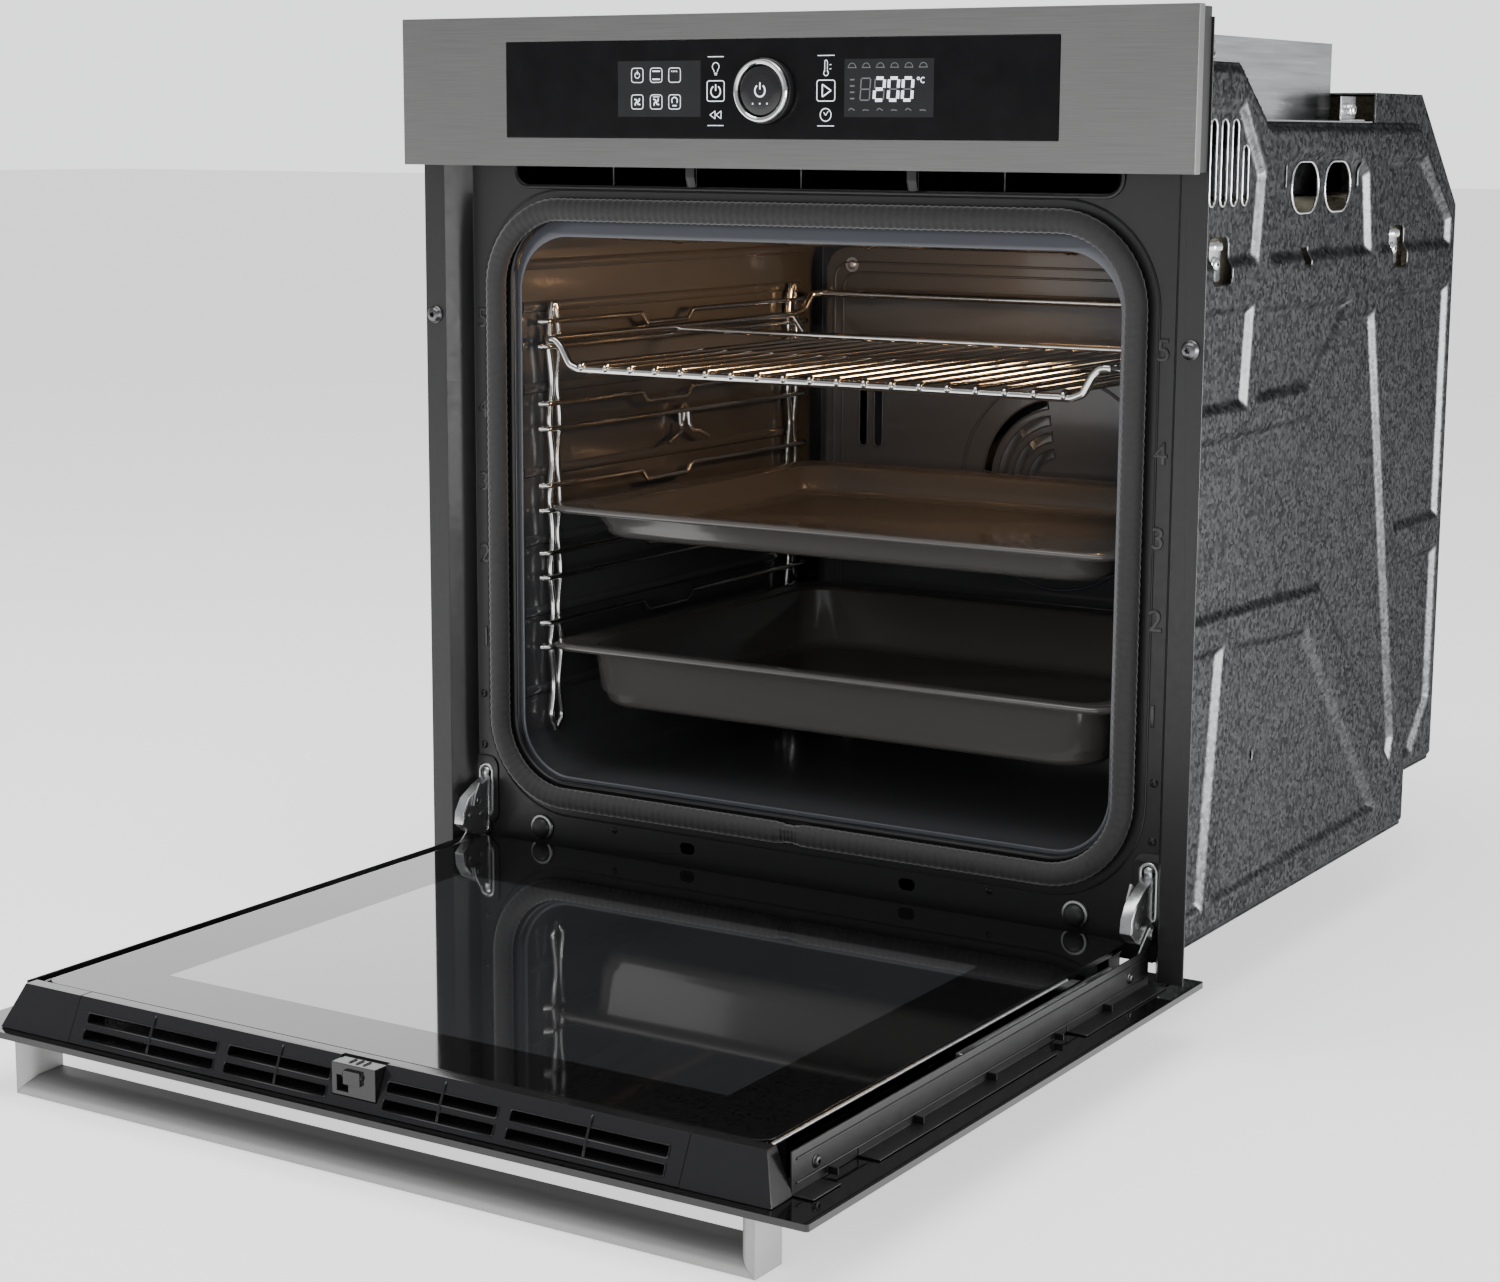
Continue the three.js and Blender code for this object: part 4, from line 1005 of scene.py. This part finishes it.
# a pressed tray: rings from the underside of the rolled rim, over it and down into the bowl
def enamelTray(name, node, body):
    press = {"rim": 225.4, "roll": 2.5, "bowl": 205, "wall": 6, "corner": 9, "thick": 1.1, "groove": 1.2}
    low, high = size(node)
    rim, roll, thick, corner = press["rim"], press["roll"], press["thick"], press["corner"]
    rimZ, floorZ = high.z - 2.4, low.z + thick
    inner = rim - press["bowl"]
    foot = inner + press["wall"]
    # each step is the inset from the rim's edge, the height and the corner's radius
    steps = [(roll, rimZ + roll * sin(radians(-130)) * 0.9 + 0.4, 22)]
    for i in range(1, 9):
        angle = radians(-130 + 220 * i / 8)
        steps.append((roll - roll * cos(angle), rimZ + roll * sin(angle) * 0.9 + 0.4, 22))
    steps += [(inner * 0.55, rimZ + roll * 0.9 + 0.3, 24), (inner * 0.62, rimZ + 1.7, 24),
              (inner * 0.9, rimZ + 1.4, 26), (inner, rimZ + 0.6, 28), (inner + 1.6, rimZ - 1.2, 30),
              (foot - 2, floorZ - thick + 13, 34)]
    for i in range(5):
        angle = radians(90 * i / 4)
        steps.append((foot + corner * (1 - cos(angle)), floorZ + corner * (1 - sin(angle)), 36))
    steps += [(inner + 24, floorZ, 34), (inner + 27, floorZ + press["groove"], 34)]
    rings = []
    for inset, z, r in steps:
        outline = roundRect(inset - rim, rim - inset, low.y + inset, high.y - inset,
                            max(r - inset * 0.4, 6), 10)
        rings.append([Vector((a, b, z)) for a, b in outline])
    form = loft(rings)
    last = len(form.points) - len(rings[0])
    form.faces.append(tuple(range(last, len(form.points))))
    made = piece(name, form, body, "tray_enamel", 40, [node], tidy=False)
    edit(made.data, faceUp)
    thicken(made, thick)


def faceUp(work):
    if max(work.faces, key=lambda f: f.calc_area()).normal.z < 0:
        bmesh.ops.reverse_faces(work, faces=work.faces)


# ---- cavity details ----
def cavityDetails():
    press = {"line": 1.1, "slotRim": 0.85, "fanZ": 250, "fanRing": 85, "arcs": (24, 37, 50, 63),
             "slotHalf": 3.9, "slotX": (-178, -164, 164, 178), "slotZ": (190, 270), "wallX": 234.9,
             "wallZ": (120, 178, 230, 280, 340, 398, 428), "clipX": (-155, 0, 155), "clipY": (110, 330),
             "lamp": (178, 402)}
    low, high = size("fan_cover")
    face, centre = low.y, press["fanZ"]
    form = Form()
    # curved slots over the fan, and straight ones beside it
    for start in (100, 280):
        for middle in press["arcs"]:
            slot = circlePoints(0, centre, middle + press["slotHalf"], 14, start, start + 75)
            slot += circlePoints(0, centre, middle - press["slotHalf"], 14, start + 75, start)
            form.bead(slot, face, press["slotRim"])
    for x in press["slotX"]:
        for z in press["slotZ"]:
            form.bead(roundRect(x - 4, x + 4, z - 0.5, z + 50.5, 3.4, 5), face, press["slotRim"])
    for reach, lift in ((206, 12), (198, 20)):
        form.bead(roundRect(-reach, reach, low.z + lift, high.z - lift, 14, 6), face + 0.2, press["line"])
    for z in (high.z - 34, high.z - 40):
        form.bar([(x, face + 0.2, z) for x in (-150, 0, 150)], 1.0)
    form.bead(circlePoints(0, centre, press["fanRing"], 48)[:-1], face + 0.2, 1.4)
    # the pressings take the collar enamel, a second copy of the cavity enamel, in place of their own: a
    # painted highlight on the slot rims and lines
    piece("fan_cover_pressings", form, "chassis", "cavity_enamel", 50, paint="collar_enamel")
    heads = Form()
    for x, z in ((-190, high.z - 14), (60, high.z - 22), (-190, low.z + 14), (190, low.z + 14)):
        heads.take(screwHead((x, face, z), (0, -1, 0), 3.6), lathe([(0, -0.6), (6, -0.6), (6, 0), (0, 0)],
                                                                   "y", (x, face, z), 24))
    piece("fan_cover_screws", heads, "chassis", "hinge_steel", 40)
    walls = Form()
    for z in press["wallZ"]:
        path = bent([(press["wallX"], y, z) for y in (30, 200, 410)], 4)
        walls.bar(path, 1.5, oval=2.6, up=(1, 0, 0))
    piece("cavity_side_pressings", bothSides(walls), "chassis", "cavity_enamel", 60)
    collar = plate(roundRect(-234.6, 234.6, 61.5, 461.4, 44, 12),
                   [roundRect(-232.2, 232.2, 63.4, 449.5, 40, 12)], 1.4, 0.6, alongY(24.4))
    piece("cavity_mouth_collar", collar, "chassis", "cavity_enamel", 40, paint="collar_enamel")
    clips = Form()
    for x in press["clipX"]:
        for y in press["clipY"]:
            clips.bar(bent([(x - 5, y, 461), (x - 5, y, 443.5), (x + 5, y, 443.5), (x + 5, y, 461)], 3, 4),
                      0.9, 8, oval=3.0, up=(1, 0, 0))
    piece("grill_clips", clips, "chassis", "hinge_steel", 40, paint="heater_sheath")
    lampX, lampZ = press["lamp"]
    collar = lathe([(20, 0), (27.5, 0), (27.5, -1.6), (25, -3.2), (20.5, -3.2), (20, -1.6), (20, 0)], "y",
                   (lampX, face + 0.4, lampZ), 40)
    piece("lamp_collar", collar, "chassis", "hinge_steel", 40)


# ---- control panel ----
def flat(points, y, depth=0.12):
    count = len(points)
    made = Form([(a, y, b) for a, b in points] + [(a, y + depth, b) for a, b in points])
    made.faces.append(tuple(range(count)))
    made.faces.append(tuple(range(2 * count - 1, count - 1, -1)))
    made.faces += [(k, (k + 1) % count, (k + 1) % count + count, k + count) for k in range(count)]
    return made


def stroke(a0, b0, a1, b1, width, y):
    dx, dz = a1 - a0, b1 - b0
    length = hypot(dx, dz)
    nx, nz = -dz / length * width / 2, dx / length * width / 2
    return flat([(a0 + nx, b0 + nz), (a1 + nx, b1 + nz), (a1 - nx, b1 - nz), (a0 - nx, b0 - nz)], y)


def strokes(points, width, y, closed=False):
    form = Form()
    count = len(points)
    for i in range(count if closed else count - 1):
        form.take(stroke(*points[i], *points[(i + 1) % count], width, y))
    return form


def circlePoints(x, z, r, steps=20, start=0, end=360):
    return [(x + r * cos(radians(start + (end - start) * i / steps)),
             z + r * sin(radians(start + (end - start) * i / steps)))
            for i in range(steps + 1)]


# one digit of seven slanted bars
def digit(x, z, height, on, y, width=0.12):
    wide = height * 0.5
    lean = 0.06
    thick = height * width
    half = height / 2
    bars = {"top": (0, height, wide, height), "middle": (0, half, wide, half), "bottom": (0, 0, wide, 0),
            "topLeft": (0, half, 0, height), "topRight": (wide, half, wide, height),
            "lowLeft": (0, 0, 0, half), "lowRight": (wide, 0, wide, half)}
    form = Form()
    for name in on:
        a0, b0, a1, b1 = bars[name]
        cut = thick * 0.42
        if a0 == a1:
            b0, b1 = b0 + cut, b1 - cut
        else:
            a0, a1 = a0 + cut, a1 - cut
        form.take(stroke(x + a0 + lean * b0, z + b0, x + a1 + lean * b1, z + b1, thick, y))
    return form


def controlPrint():
    show = {"digit": 13.5, "line": 0.44, "bold": 0.8, "icon": 9.2, "leftKeys": -38.5, "rightKeys": 44.5}
    y = size("control_glass")[0].y - 0.1
    line, bold = show["line"], show["bold"]
    white, dim = Form(), Form()
    left0, left1 = size("left_display")
    right0, right1 = size("right_display")

    def draw(*points, width=line, closed=False, form=white):
        form.take(strokes(points, width, y, closed))

    def curve(x, z, r, steps, start=0, end=360, width=line, form=white):
        form.take(strokes(circlePoints(x, z, r, steps, start, end), width, y))

    # six cooking modes in rounded squares
    middleZ = (left0.z + left1.z) / 2
    r = show["icon"] / 2
    for column, x in enumerate((left0.x + 15.5, left0.x + 30.5, left0.x + 45)):
        for row, z in enumerate((middleZ + 8.8, middleZ - 8.4)):
            draw(*roundRect(x - r, x + r, z - r, z + r, 1.8, 4), closed=True)
            mode = column + 3 * row
            if mode == 0:
                curve(x, z, 1.9, 14)
                draw((x, z + 0.4), (x, z + 3.2))
            if mode == 1:
                for lift in (2.6, -2.6):
                    draw((x - 3, z + lift), (x + 3, z + lift), width=bold)
            if mode == 2:
                for k in range(4):
                    draw((x - 2.6 + 1.3 * k, z + 2.9), (x - 2 + 1.3 * k, z + 2))
            if mode in (3, 4):
                for k in range(4):
                    a = radians(90 * k + 20)
                    draw((x, z), (x + 1.6 * cos(a), z + 1.6 * sin(a)),
                         (x + 2.9 * cos(a + 0.6), z + 2.9 * sin(a + 0.6)), width=bold)
            if mode == 4:
                draw((x - 2.6, z + 3.3), (x + 2.6, z + 3.3))
            if mode == 5:
                curve(x, z + 0.8, 2.2, 12, -40, 220, 0.7)
                draw((x - 1.6, z - 2.4), (x + 1.6, z - 2.4), width=bold)
    # the touch keys on both sides of the knob: two bars and a rounded square each
    for x in (show["leftKeys"], show["rightKeys"]):
        for z in (569.3, 525.5):
            draw((x - 6.2, z), (x + 6.2, z))
        draw(*roundRect(x - 6.6, x + 6.6, 541, 554, 1.6, 4), width=line * 1.2, closed=True)
    # on the left a lamp, a power mark and two arrows
    x = show["leftKeys"]
    curve(x, 563, 2.6, 16, -50, 230)
    for half, z in ((1.2, 558.8), (0.9, 557.8)):
        draw((x - half, z), (x + half, z))
    for s in (-1, 1):
        draw((x + 1.6 * s, 561), (x + 1.2 * s, 559.6))
    curve(x, 547.2, 3.7, 18, 120, 420, bold)
    draw((x, 547.6), (x, 551.8), width=bold)
    for shift in (-4.4, 0.2):
        draw((x + shift + 4, 534.8), (x + shift + 4, 529.8), (x + shift, 532.3), closed=True)
    # on the right a thermometer, a start mark and a clock
    x = show["rightKeys"]
    draw((x - 1, 559), (x - 1, 565.6), (x - 0.4, 566.4), (x + 0.4, 566.4), (x + 1, 565.6), (x + 1, 559))
    curve(x, 558.4, 1.7, 12, 130, 410)
    for z in (563.6, 561):
        draw((x + 2.6, z), (x + 3.8, z))
    draw((x - 2.6, 551.4), (x - 2.6, 543.6), (x + 3.8, 547.5), width=bold, closed=True)
    curve(x, 532.4, 4, 20, width=line * 1.2)
    draw((x - 1.4, 534), (x, 532), (x + 1.9, 534.6))
    # the temperature, with the unlit bars faint behind it
    every = ("top", "middle", "bottom", "topLeft", "topRight", "lowLeft", "lowRight")
    lit = {"2": ("top", "middle", "bottom", "topRight", "lowLeft"),
           "0": ("top", "bottom", "topLeft", "topRight", "lowLeft", "lowRight")}
    start, base = right0.x + 11.5, right0.z + 10.5
    for i, mark in enumerate(" 200"):
        on = lit.get(mark, ())
        off = [bar for bar in every if bar not in on]
        white.take(digit(start + 10.1 * i, base, show["digit"], on, y, 0.15))
        dim.take(digit(start + 10.1 * i, base, show["digit"], off, y, 0.06))
    curve(start + 41.6, base + 13.2, 0.8, 10, width=0.5)
    curve(start + 44.9, base + 12.2, 1.6, 12, 50, 310, 0.6)
    # faint marks round it
    for i in range(4):
        z = right0.z + 11.5 + 3.9 * i
        draw((right0.x + 4.2, z), (right0.x + 7.4, z), width=0.9, form=dim)
    for i in range(6):
        x, top, low = right0.x + 5.5 + 10.2 * i, right1.z - 5.4, right0.z + 4.2
        curve(x, top + 0.2, 2.6, 10, 0, 180, 0.5, dim)
        draw((x - 3.2, top), (x + 3.2, top), width=0.5, form=dim)
        draw((x - 2.2, low), (x - 0.6, low + 1.4 - i % 2), (x + 2.2, low), width=0.6, form=dim)
    piece("control_print", white, "chassis", "display_panel", 30, paint="white_print", tidy=False)
    piece("faint_segments", dim, "chassis", "display_panel", 30, paint="dim_print", tidy=False)
    print("control print:", len(white.faces) + len(dim.faces), "faces")


def controlKnob():
    shape = {"inner": 16.5, "outer": 20.4}
    low, high = size("knob_ring")
    middle = (low + high) / 2
    outer, inner = shape["outer"], shape["inner"]
    deep = high.y - low.y
    # both profiles are a radius and how far back from the front
    profile = [(inner, deep), (outer, deep), (outer, 2.4), (outer - 0.25, 1.2), (outer - 0.8, 0.4),
               (outer - 1.7, 0), (inner + 1.1, 0.1), (inner + 0.35, 0.6), (inner, 1.5), (inner, deep)]
    spot = (0, low.y, middle.z)
    piece("knob_bright_ring", lathe(profile, "y", spot, 96), "control_knob", "knob_chrome", 28,
          ["knob_ring"])
    skirt = lathe([(outer - 0.2, 4), (outer + 0.35, 4.4), (outer + 0.35, deep - 0.2), (outer - 0.2, deep)],
                  "y", spot, 96)
    piece("knob_skirt", skirt, "control_knob", "black_plastic", 28)
    top = size("select_button")[0].y
    cap = [(0, 0), (9, 0.05), (14.2, 0.25), (15.3, 0.7), (15.9, 1.5), (16.1, 2.6), (16.1, 8), (5, 8),
           (5, 16.5), (0, 16.5)]
    piece("select_button_cap", lathe(cap, "y", (0, top, middle.z), 80), "select_button",
          "gloss_black_plastic", 28, ["select_button"])
    y = top - 0.08
    form = together(strokes(circlePoints(0, middle.z, 3.8, 24, 125, 415), 0.95, y),
                    stroke(0, middle.z + 0.8, 0, middle.z + 5.2, 0.95, y))
    form.take(*[flat(circlePoints(5.4 * k, middle.z - 8.2, 0.55, 10)[:-1], y) for k in (-1, 0, 1)])
    piece("button_mark", form, "select_button", "display_panel", 30, paint="white_print", tidy=False)


# ---- door ----
def doorPanes():
    door = {"windowX": 201, "windowY": (-378, -92)}
    low, high = size("door_inner_glass")
    glass = windowGlass(door).material
    for name in ("door_inner_glass", "door_outer_glass"):
        frame["nodes"][name].data.materials[0] = glass
    trim = Form()
    for s in (-1, 1):
        x = s * (high.x + 1.4)
        trim.bar([(x, y, high.z - 1.6) for y in (low.y + 2, -200, -84)], 1.1, 8)
    piece("pane_edge_strips", trim, "door", "hinge_steel", 50)
    pads = Form()
    for s in (-1, 1):
        for y in (low.y + 14, high.y - 16):
            pads.take(block(s * 250 - 4, s * 250 + 4, y - 9, y + 9, -9.6, low.z - 0.2))
    made = piece("pane_spacers", pads, "door", "black_plastic", 30)
    softEdge(made, 0.8)


# the inner and the outer pane: black print round a slightly smoky window
def windowGlass(door):
    paint = blackGlass("windowGlass")
    x, y = paint.axes()[:2]
    half, (near, far) = door["windowX"] * mm, door["windowY"]
    window = paint.inside(x, -half, half, y, near * mm, far * mm)
    haze = paint.noise(9, 3)
    smoke = paint.blend(haze, (0.016, 0.017, 0.018), (0.03, 0.031, 0.033))
    paint.set("Coat Weight", window * 0.9 + 0.05)
    dots = paint.cells(260)
    dotted = paint.ramp(dots, (0.3, (0.003, 0.003, 0.003, 1)), (0.36, (0.006, 0.006, 0.006, 1)))
    paint.set("Base Color", paint.blend(window, dotted, smoke))
    return paint


def doorTrim():
    trim = {"rib": 0.9, "slotEdge": 0.5, "rows": (-6.5, 2.5), "slotHigh": 6,
            "slots": ((-206, -104), (-96, -20), (20, 96), (104, 206)), "ribX": (-155, -58, 58, 155),
            "latchRibs": (-5, 0, 5), "roller": 1.8}
    low, high = size("door_top_trim")
    form = Form()
    for z in trim["rows"]:
        for x0, x1 in trim["slots"]:
            # the trim's face leans by 12 mm over its 25.7 mm of height
            ring = roundRect(x0, x1, z, z + trim["slotHigh"], 1.2, 3)
            slant = [(a, low.y + (b + 9.7) / 25.7 * 12 - 0.2, b) for a, b in ring]
            form.bar(slant, trim["slotEdge"], 6, True)
    for x in trim["ribX"]:
        rib = [(x, low.y + 2, -8), (x, low.y + 3.2, -3), (x, low.y + 10, 13), (x, low.y + 14, 14.6)]
        form.bar(bent(rib, 3), trim["rib"])
    form.bar([(x, high.y - 1.2, high.z - 1.0) for x in (-215, 0, 215)], 0.9, 8)
    piece("door_trim_edges", form, "door", "gloss_black_plastic", 50)
    latch = Form()
    lLow, lHigh = size("trim_latch")
    for x in trim["latchRibs"]:
        rib = [(x, lHigh.y - 3, lHigh.z), (x, lLow.y + 5, lHigh.z), (x, lLow.y + 2, lHigh.z - 6)]
        latch.bar(bent(rib, 2), 0.8)
    latch.bar([(x, lLow.y + 2.2, 9) for x in (-7, 0, 7)], trim["roller"], 12)
    piece("latch_roller", latch, "door", "black_plastic", 50)


def doorSides():
    rail = {"web": 271.2, "notches": (-392, -300, -214, -128, -60), "rib": 0.8, "screwY": (-404, -22),
            "screw": 3.4}
    low, high = size("right_door_profile")
    form = Form()
    web = rail["web"]
    for z in (low.z + 6, high.z - 5):
        form.bar([(web, y, z) for y in (low.y + 4, -200, high.y - 6)], rail["rib"], 8)
    for y in rail["notches"]:
        form.take(block(web - 0.2, web + 6, y, y + 1.2, low.z + 1, low.z + 5))
    made = piece("door_side_ribs", bothSides(form), "door", "black_enamel", 40)
    softEdge(made, 0.3)
    heads = screws([(web, y, 2) for y in rail["screwY"]], (1, 0, 0), rail["screw"])
    piece("door_side_screws", bothSides(heads), "door", "black_enamel", 40)


# a mitred rail on two posts; its inner edge toward the front is a long curve
def handle():
    rail = {"curveDeep": 16.0, "curveThick": 9.5, "steps": 12, "edge": 0.8, "miter": 0.15}
    low, high = size("handle_bar")
    postHigh = size("right_handle_post")[1]
    outer, top = postHigh.x, postHigh.z
    thick = high.z - low.z
    deep, curve, edge = high.y - low.y, rail["curveDeep"], rail["edge"]
    # the profile: how far back from the front, and how far in from the outer face
    profile = [(0, edge), (edge * 0.3, edge * 0.3), (edge, 0), (deep - edge, 0), (deep, edge),
               (deep, thick - edge), (deep - edge, thick)]
    for i in range(rail["steps"] + 1):
        angle = radians(90 * i / rail["steps"])
        profile.append((curve * (1 - sin(angle)), thick - rail["curveThick"] * (1 - cos(angle))))
    gap = rail["miter"]
    bar = [[Vector((s * (outer - t - gap), low.y + d, low.z + t)) for d, t in profile] for s in (-1, 1)]
    post = [[Vector((outer - t, low.y + d, z or low.z + t + gap)) for d, t in profile] for z in (0, top)]
    form = together(loft(bar, capped=True), bothSides(loft(post, capped=True)))
    stoodFor = ["handle_bar", "left_handle_post", "right_handle_post"]
    piece("handle_rail", form, "door", "handle_stainless", 25, stoodFor)


# ---- hinges ----
def hinges():
    hinge = {"rivet": 3.0, "rivetHead": 2.0, "strap": 0.55, "coil": 3.0, "coilWire": 0.6}
    low, high = size("right_hinge_arm")
    outer, inner = low.x + hinge["rivetHead"], high.x
    steel = Form()
    outline = bent([(8, 0, 16.2), (17, 0, 16.2), (17, 0, 54), (6, 0, 51), (-6, 0, 44.4), (-12, 0, 36),
                    (-12.8, 0, 28), (-5.5, 0, 21.4), (2, 0, 17.8)], 4, 4, True)
    # the outline drawn in a little, on both faces of the arm
    for x in (outer + 0.35, inner - 0.35):
        steel.bar([(x, 2 + (p.x - 2) * 0.965, 34 + (p.z - 34) * 0.965) for p in outline], hinge["strap"], 8,
                  True)
    r = hinge["rivet"]
    for y, z in ((2, 42), (8, 31), (-5, 32)):
        steel.take(lathe([(0, -0.4), (r * 0.6, -0.3), (r, 0.2), (0, 0.2)], "x", (outer, y, z), 20),
                   lathe([(0, -0.2), (r, -0.2), (r * 0.6, 0.25), (0, 0.3)], "x", (inner, y, z), 20))
    # the slot the arm comes out of, its hook and its plate
    steel.bead(roundRect(257.9, 269.1, 26.6, 65.4, 5.5, 8), 19.6, 1.3, 10)
    steel.bar(bent([(263.5, 20.5, 52), (263.5, 18.6, 60), (263.5, 20, 62.5), (263.5, 26, 60)], 3), 1.7, 10,
              oval=1.8, up=(0, 1, 0))
    piece("hinge_strap_edges", bothSides(steel), "chassis", "hinge_steel", 40)
    foot = plate(roundRect(253, 276, 22.5, 72, 8, 8), [roundRect(256.5, 270.5, 25, 67, 6.9, 8)], 1.2, 0.4,
                 alongY(18.7))
    piece("hinge_slot_plates", bothSides(foot), "chassis", "black_enamel", 40)
    pins = Form()
    channelEnd = size("right_hinge_channel")[1].x
    pins.take(lathe([(0, -1), (3.6, -0.8), (4.2, 0), (4.2, 1.4), (0, 1.4)], "x", (channelEnd + 0.2, 14, 22),
                    24))
    coil = hinge["coil"]
    turns = [-200 + 0.5 * i for i in range(300)]
    spring = [(265 + coil * cos(1.9 * y), y, 0.5 + coil * sin(1.9 * y)) for y in turns]
    pins.bar(spring, hinge["coilWire"], 6)
    piece("hinge_pins_springs", bothSides(pins), "door", "hinge_steel", 40)


def buffers():
    dome = [(0, 0), (3, 0.2), (5.4, 1.2), (7, 2.8), (7.6, 4.4), (7.6, 6.4), (0, 6.4)]
    collar = [(7.4, 4.4), (9, 4.8), (9.4, 6.2), (7.4, 6.2), (7.4, 4.4)]
    form, rings = Form(), Form()
    for side in ("left", "right"):
        low, high = size(side + "_door_buffer")
        spot = ((low.x + high.x) / 2, low.y, (low.z + high.z) / 2)
        form.take(lathe(dome, "y", spot))
        rings.take(lathe(collar, "y", spot))
    piece("buffer_domes", form, "chassis", "hinge_steel", 30, ["left_door_buffer", "right_door_buffer"],
          "black_plastic")
    piece("buffer_rings", rings, "chassis", "hinge_steel", 30)


# ---- rear and top ----
def rearDetails():
    rear = {"louvres": range(330, 414, 14), "half": 90, "hoodDeep": 5.0, "hoodRise": 3.4,
            "screwX": (-255, -120, 120, 255), "screwZ": (60, 455), "roofX": (-150, 150), "roofY": 409,
            "topSlots": (90, 130, 170)}
    low, high = size("rear_cover")
    form = Form()
    half = rear["half"]
    for z in rear["louvres"]:
        form.bead(roundRect(-half, half, z, z + 5, 2, 4), high.y - 0.3, 0.5, 6)
        curl = [(-0.8 - rear["hoodDeep"] * sin(radians(t)), 5.4 + rear["hoodRise"] * (1 - cos(radians(t))))
                for t in range(0, 91, 15)]
        hood = [[Vector((x, high.y + a, z + b)) for a, b in curl] for x in (2 - half, half - 2)]
        form.take(loft(hood, capped=True))
    for reach, lift in ((240, 30), (228, 42)):
        form.bead(roundRect(-reach, reach, low.z + lift, 470 - lift, 18, 5), high.y - 0.9, 1.3)
    form.bead(roundRect(149, 211, 435, 467, 3, 4), high.y - 0.5, 0.8)
    piece("rear_pressings", form, "chassis", "galvanised_sheet", 50)
    back = screws([(x, high.y - 0.9, z) for x in rear["screwX"] for z in rear["screwZ"]], (0, 1, 0), 2.6,
                  0.9)
    roof = screws([(x, rear["roofY"], high.z - 0.2) for x in rear["roofX"]], (0, 0, 1), 4, 1.6)
    piece("rear_screws", together(back, roof), "chassis", "hinge_steel", 40)
    tLow, tHigh = size("top_cover")
    top = Form()
    for y in rear["topSlots"]:
        for x in (-120, 120):
            ring = roundRect(x - 45, x + 45, y, y + 8, 3.9, 6)
            top.bar([(a, b, tHigh.z) for a, b in ring], 0.9, 8, True)
    frameRing = roundRect(-215, 215, tLow.y + 18, tHigh.y - 18, 20, 6)
    top.bar([(a, b, tHigh.z) for a, b in frameRing], 1.4, 8, True)
    piece("top_pressings", top, "chassis", "bright_sheet", 50)


def supplyTerminal():
    high = size("terminal_block")[1]
    form = Form()
    for i in range(5):
        x = 160 + 10 * i
        form.take(block(x - 4.4, x - 3.6, high.y - 6, high.y - 1.2, 440, 463))
        form.take(lathe([(2.2, 0), (3.8, 0), (3.8, 1), (2.2, 1), (2.2, 0)], "y", (x, high.y - 3.4, 451), 20))
    made = piece("terminal_ribs", form, "chassis", "terminal_plastic", 30)
    softEdge(made, 0.3)


# ---- carried-over nodes ----
slotOf = {part["node"]: part["material_slot"] for part in frame["record"]["subparts"]}


def dressNode(name):
    edges = {"width": 0.35, "angle": 32}
    node = frame["nodes"][name]
    node.data.materials.clear()
    node.data.materials.append(finishes[slotOf[name]].material)
    node.data.polygons.foreach_set("use_smooth", [True] * len(node.data.polygons))
    weld = node.modifiers.new("weld", "WELD")
    weld.merge_threshold = 0.004 * mm
    softEdge(node, edges["width"], angle=edges["angle"])
    even = node.modifiers.new("even", "WEIGHTED_NORMAL")
    even.weight = 100


makeCamera()
makeFinishes()
for name in sorted(frame["nodes"]):
    dressNode(name)
print("carried-over nodes dressed")
doorSeal()
frontFrame()
levelNumbers()
flangeScrews()
sidePanels()
sideFittings()
shelfRacks()
wireShelf()
enamelTray("shallow_tray", "baking_tray", "baking_tray")
enamelTray("deep_pan", "drip_pan", "drip_pan")
cavityDetails()
controlPrint()
controlKnob()
doorPanes()
doorTrim()
handle()
doorSides()
hinges()
buffers()
rearDetails()
supplyTerminal()
print("pieces made")
makeStudio()
